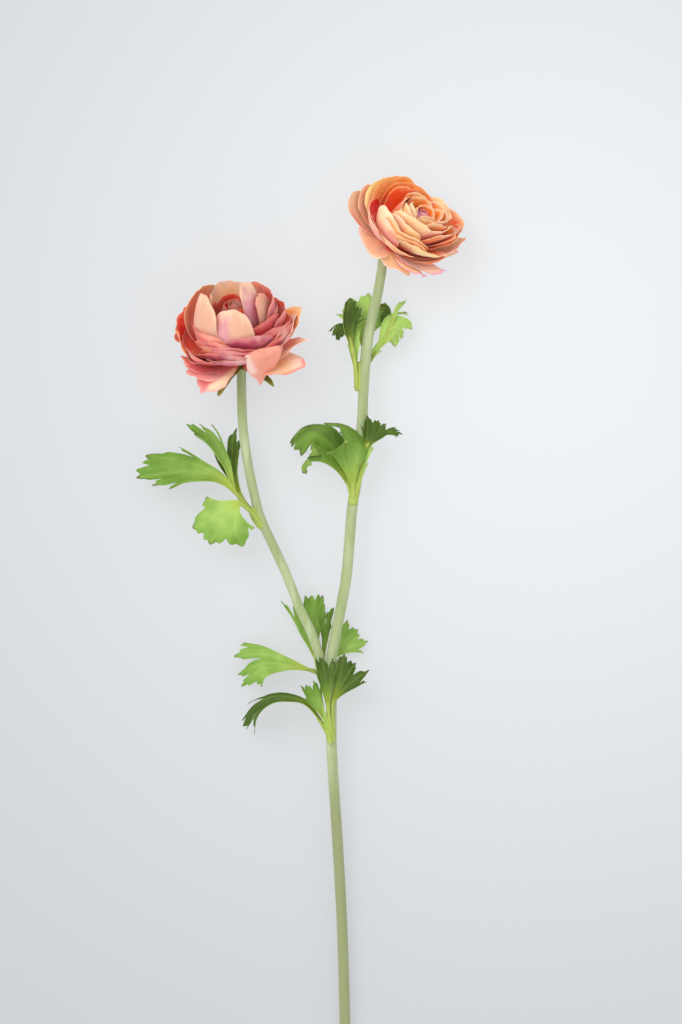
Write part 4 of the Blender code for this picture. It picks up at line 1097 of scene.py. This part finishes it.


# %% [markdown]
# ### The dye on a petal
#
# What the eye knows a silk flower by is its dye. It is deepest in the root, has run up the cloth in streaks, has
# left the rim pale, and has a brushed patch with a soft torn edge. All of the borders are where a number that
# the petal carries meets a noise, so no two petals have the same border, and the noise is drawn out along the
# petal as the dye ran. A very fine weave and a light sheen say that it is cloth, and some light comes through.
# Pale cream clouds laid over the dye are painted highlights that stand in for the satin's sheen.


# %% The petals' finish
def petal_finish(name, glow):
    material, tree, shader, place = new_finish(name)
    u, front = carried(tree, "along"), carried(tree, "front")
    root, rim = carried(tree, "root", "Color"), carried(tree, "rim", "Color")
    cloth = vector_of(carried(tree, "across"), u * 0.45, carried(tree, "whim") * 37.0)
    streak, fine, cloud = speckled(cloth, 3.2, 2.0), speckled(cloth, 14.0, 2.0), speckled(place, 95.0, 2.0)
    run = frayed(u, streak, 0.36)
    patch = frayed(frayed(carried(tree, "patch"), cloud, 1.2), streak, 0.5)
    hem = frayed(carried(tree, "hem"), fine, 0.8)
    level = front * carried(tree, "soak") + (1 - front) * carried(tree, "stain")
    layers = (
        (ramped(patch, -0.15, 0.35), 0.85, carried(tree, "flush", "Color")),  # brushed patch
        (ramped(run, 0.86, 1.06), 0.6, rim),  # pale end of the run
        (1 - ramped(run / level, 0.62, 1.12), 1.0, root),  # dipped root
        (ramped(hem, 0.1, 0.9), 0.7, rim),
        (ramped(fine, 0.45, 0.8), 0.08, root),  # fine veins
        (ramped(cloud, 0.45, 0.8), 0.22, dye(255, 236, 214)),  # painted highlight: pale cream clouds that stand in for the satin's sheen
    )
    ground = mixed(front, carried(tree, "back", "Color"), carried(tree, "face", "Color"))
    creases = bumped(fine, 0.00012, 0.4, Normal=bumped(streak, 0.0003, 0.25))
    painted(shader, ground, layers, Roughness=0.62, Specular_IOR_Level=0.25, Sheen_Weight=0.18,
            Sheen_Roughness=0.4, Subsurface_Weight=glow, Subsurface_Scale=0.0022, Subsurface_Radius=(1.0, 0.45, 0.25),
            Normal=bumped(speckled(place, 3000.0), 0.00007, 0.5, Normal=creases))
    return material


PETAL_FINISH = {"rose": petal_finish("rose_silk", 0.3), "peach": petal_finish("peach_silk", 0.35)}

# %% [markdown]
# ### The heart of the flower
#
# The heart is a tight bud of small folded petals. Buds, seeds and scales follow the golden angle: each one is
# turned 137.5 degrees from the last and stands a little further out. Geometry Nodes bend one small slab into a
# scoop, set copies of it on that spiral, and lean and scale each by its place.

# %% The heart's finish and tree
# Lengths in metres. Drop is how much lower the outermost folds stand.
HEART_SIZES = {"Folds": 26, "Spread": 0.0062, "Height": 0.024, "Drop": 0.005, "Seed": 5}
GOLDEN_SHARE = 0.381966  # of a turn, from each fold to the next
HEART_DYES = {"rose": ("oxblood", "dusty", "beige"), "peach": ("tangerine", "apricot", "lilac")}


def heart_finish(name, low, middle, high):
    material, tree, shader, place = new_finish("heart_" + name)
    t = frayed(carried(tree, "rise"), speckled(place, 260.0), 0.6)
    layers = ((ramped(t, 0.15, 0.6), 1.0, DYES[middle]), (ramped(t, 0.62, 0.95), 1.0, DYES[high]))
    painted(shader, DYES[low], layers, Roughness=0.65, Sheen_Weight=0.2, Subsurface_Weight=0.25,
            Subsurface_Scale=0.0015, Normal=bumped(speckled(place, 1500.0), 0.0001, 0.5))
    return material


def fold_shape(tree):
    """One small scoop, made from a slab: narrow at its foot, cupped across and nodding inwards at its tip."""
    slab = add_node("GeometryNodeMeshCube", tree=tree, Size=(1.0, 0.05, 1.0), Vertices_X=6, Vertices_Y=2,
                    Vertices_Z=7)
    place = add_node("ShaderNodeSeparateXYZ", _0=known(tree, "Position"))
    x, y, rise = place, place.other(1), place.other(2) + 0.5
    width = calculated("SINE", rise * 2.2 + 0.55)
    bow = x * x * -1.3 * width
    nod = calculated("POWER", rise, 3.0) * -0.45
    crown = x * x * -0.8 * rise
    shape = add_node("GeometryNodeSetPosition", Geometry=slab,
                     Position=vector_of(x * width, y + (bow + nod), rise + crown))
    height = add_node("ShaderNodeSeparateXYZ", _0=known(tree, "Position")).other(2)
    return add_node("GeometryNodeStoreNamedAttribute", {"data_type": "FLOAT", "domain": "POINT"}, Geometry=shape,
                    Name="rise", Value=height)


def heart_tree(name, finish):
    tree, given, result = new_node_tree("heart_of_" + name, HEART_SIZES)
    index = known(tree, "Index")
    share = index / given["Folds"]
    turn = index * (math.tau * GOLDEN_SHARE)
    spread = calculated("SQRT", share) * given["Spread"]
    x, y = calculated("COSINE", turn) * spread, calculated("SINE", turn) * spread
    z = given["Height"] - (share * share * given["Drop"] + 0.006)
    dots = add_node("GeometryNodePoints", Count=given["Folds"], Position=vector_of(x, y, z))
    wobble = add_node("FunctionNodeRandomValue", {"data_type": "FLOAT"}, _2=-0.2, _3=0.2, Seed=given["Seed"]).other(1)
    size = share * 0.0055 + 0.0035
    folds = add_node("GeometryNodeInstanceOnPoints", Points=dots, Instance=fold_shape(tree),
                     Rotation=vector_of(share * -0.28 + wobble, 0.0, turn - math.pi / 2),
                     Scale=vector_of(size, size, size * 1.1))
    end_tree(folds, result, finish)
    return tree


# %% Make the blooms
PETAL_SEED, SEPAL_SEED = 100, 300  # added to a bloom's own


def flower_matrix(bloom):
    """The matrix that takes an upright flower, in metres, to its place on the stem."""
    right, front, axis = flower_axes(bloom)
    place = (np.array(bloom.base) + bloom.heart_aside * right + SHIFT) * MM
    return Matrix([[-right[k], front[k], axis[k], place[k]] for k in range(3)] + [[0, 0, 0, 1]])


for bloom in (ROSE, PEACH):
    random = np.random.RandomState(bloom.seed + PETAL_SEED)
    patches = [petal_patch(bloom, *dipped, random) for dipped in dipped_petals(bloom)]
    petals = make_piece(f"petals_{bloom.name}", patches, PETAL_FINISH[bloom.name])
    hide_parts(f"bloom_{bloom.name}")
    seed_mesh = shown("heart_seed", bpy.data.meshes.new("heart_seed"))
    finish = heart_finish(bloom.name, *HEART_DYES[bloom.name])
    heart = baked(seed_mesh, heart_tree(bloom.name, finish), HEART_SIZES, f"heart_{bloom.name}",
                  flower_matrix(bloom))
    for piece in (petals, heart):
        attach(piece, "root")

# %% [markdown]
# ## Calyxes
#
# Five sepals of olive green cloth bend back under each flower. They are narrow, pointed and slightly hooded,
# and on the rose bloom two of them hang clear of the petals. Each is a narrow, pointed petal, so the petal's own
# maker is used again. Under them is the small turned disc that holds them to the stem.

# %% Sepals and their finish
SEPAL_GRID = (26, 12)
SEPALS = {  # each sepal's azimuth in degrees, and its reach and drop in mm
    "rose": ((-32, 23.5, 8.4), (42, 23, 8.0), (112, 14, 4.5), (-178, 11, 4.5), (-102, 14, 4.5)),
    "peach": ((-78, 11, 2.6), (62, 11, 2.8), (128, 13, 4.0), (178, 11, 4.0), (-132, 12, 4.0)),
}
# The disc's radii and heights in mm, from the stem's end to the sepals.
DISC = ((0.05, -2.95), (2.2, -2.9), (3.5, -2.35), (3.7, -1.9), (3.3, -1.5), (0.05, -1.3))


def calyx_finish():
    material, tree, shader, place = new_finish("calyx_cloth")
    layers = (
        (ramped(speckled(place, 170.0), 0.3, 0.7), 1.0, dye(148, 142, 58)),
        (ramped(carried(tree, "tone"), 0.3, 0.7), 1.0, dye(84, 112, 42)),
        (ramped(carried(tree, "along"), 0.75, 1.05), 1.0, dye(150, 150, 60)),
        (ramped(carried(tree, "rib"), 0.7, 1.0), 0.35, dye(120, 76, 30)),
    )
    fine = bumped(speckled(place, 700.0), 0.0002, 0.5)
    painted(shader, dye(112, 104, 34), layers, Roughness=0.7, Specular_IOR_Level=0.25,
            Normal=bumped(speckled(place, 3200.0), 0.00008, 0.5, Normal=fine))
    return material


def sepal_patch(bloom, azimuth, reach, drop, tone, random):
    profile = ((1.5, -2.2), (reach * 0.4, -2.0), (reach * 0.75, -1.2 - drop * 0.3), (reach, -drop))
    phase = random.uniform(0, math.tau)
    sepal = Petal(azimuth, profile, half_width=3, cup=-6, rounding=0.75, ruffle=0.25, point=0, phase=phase)
    grid, u, v = petal_cloth(sepal, *SEPAL_GRID, curl=0.3, random=random)
    rib = 1 - np.abs(v) ** 0.5
    grid = grid @ flower_axes(bloom) + bloom.base
    return thin_sheet(grid, 0.5 - 0.25 * u, {"along": u, "rib": rib, "tone": tone})


def disc_patch(bloom, sides=28):
    """The turned disc between the stem and the sepals."""
    turns = math.tau * np.arange(sides)[None, :] / sides
    radii = np.array([radius for radius, _ in DISC])[:, None]
    heights = np.array([height for _, height in DISC])[:, None] * np.ones((1, sides))
    rings = np.stack([radii * np.cos(turns), -radii * np.sin(turns), heights], axis=-1).reshape(-1, 3)
    points = np.vstack([rings, [[0, 0, DISC[0][1]], [0, 0, DISC[-1][1]]]]) @ flower_axes(bloom) + bloom.base
    count = len(points)
    fields = {"front": np.ones(count), "along": np.zeros(count), "rib": np.zeros(count), "tone": np.ones(count)}
    return Patch(points, closed_rings(len(DISC), sides), fields)


CALYX_CLOTH = calyx_finish()
for bloom in (ROSE, PEACH):
    random = np.random.RandomState(bloom.seed + SEPAL_SEED)
    patches = [disc_patch(bloom)]
    for number, (azimuth, reach, drop) in enumerate(SEPALS[bloom.name]):
        patches.append(sepal_patch(bloom, azimuth, reach, drop, float(number % 2), random))
    calyx = make_piece(f"sepals_{bloom.name}", patches, CALYX_CLOTH)
    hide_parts(f"calyx_{bloom.name}")
    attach(calyx, "root")
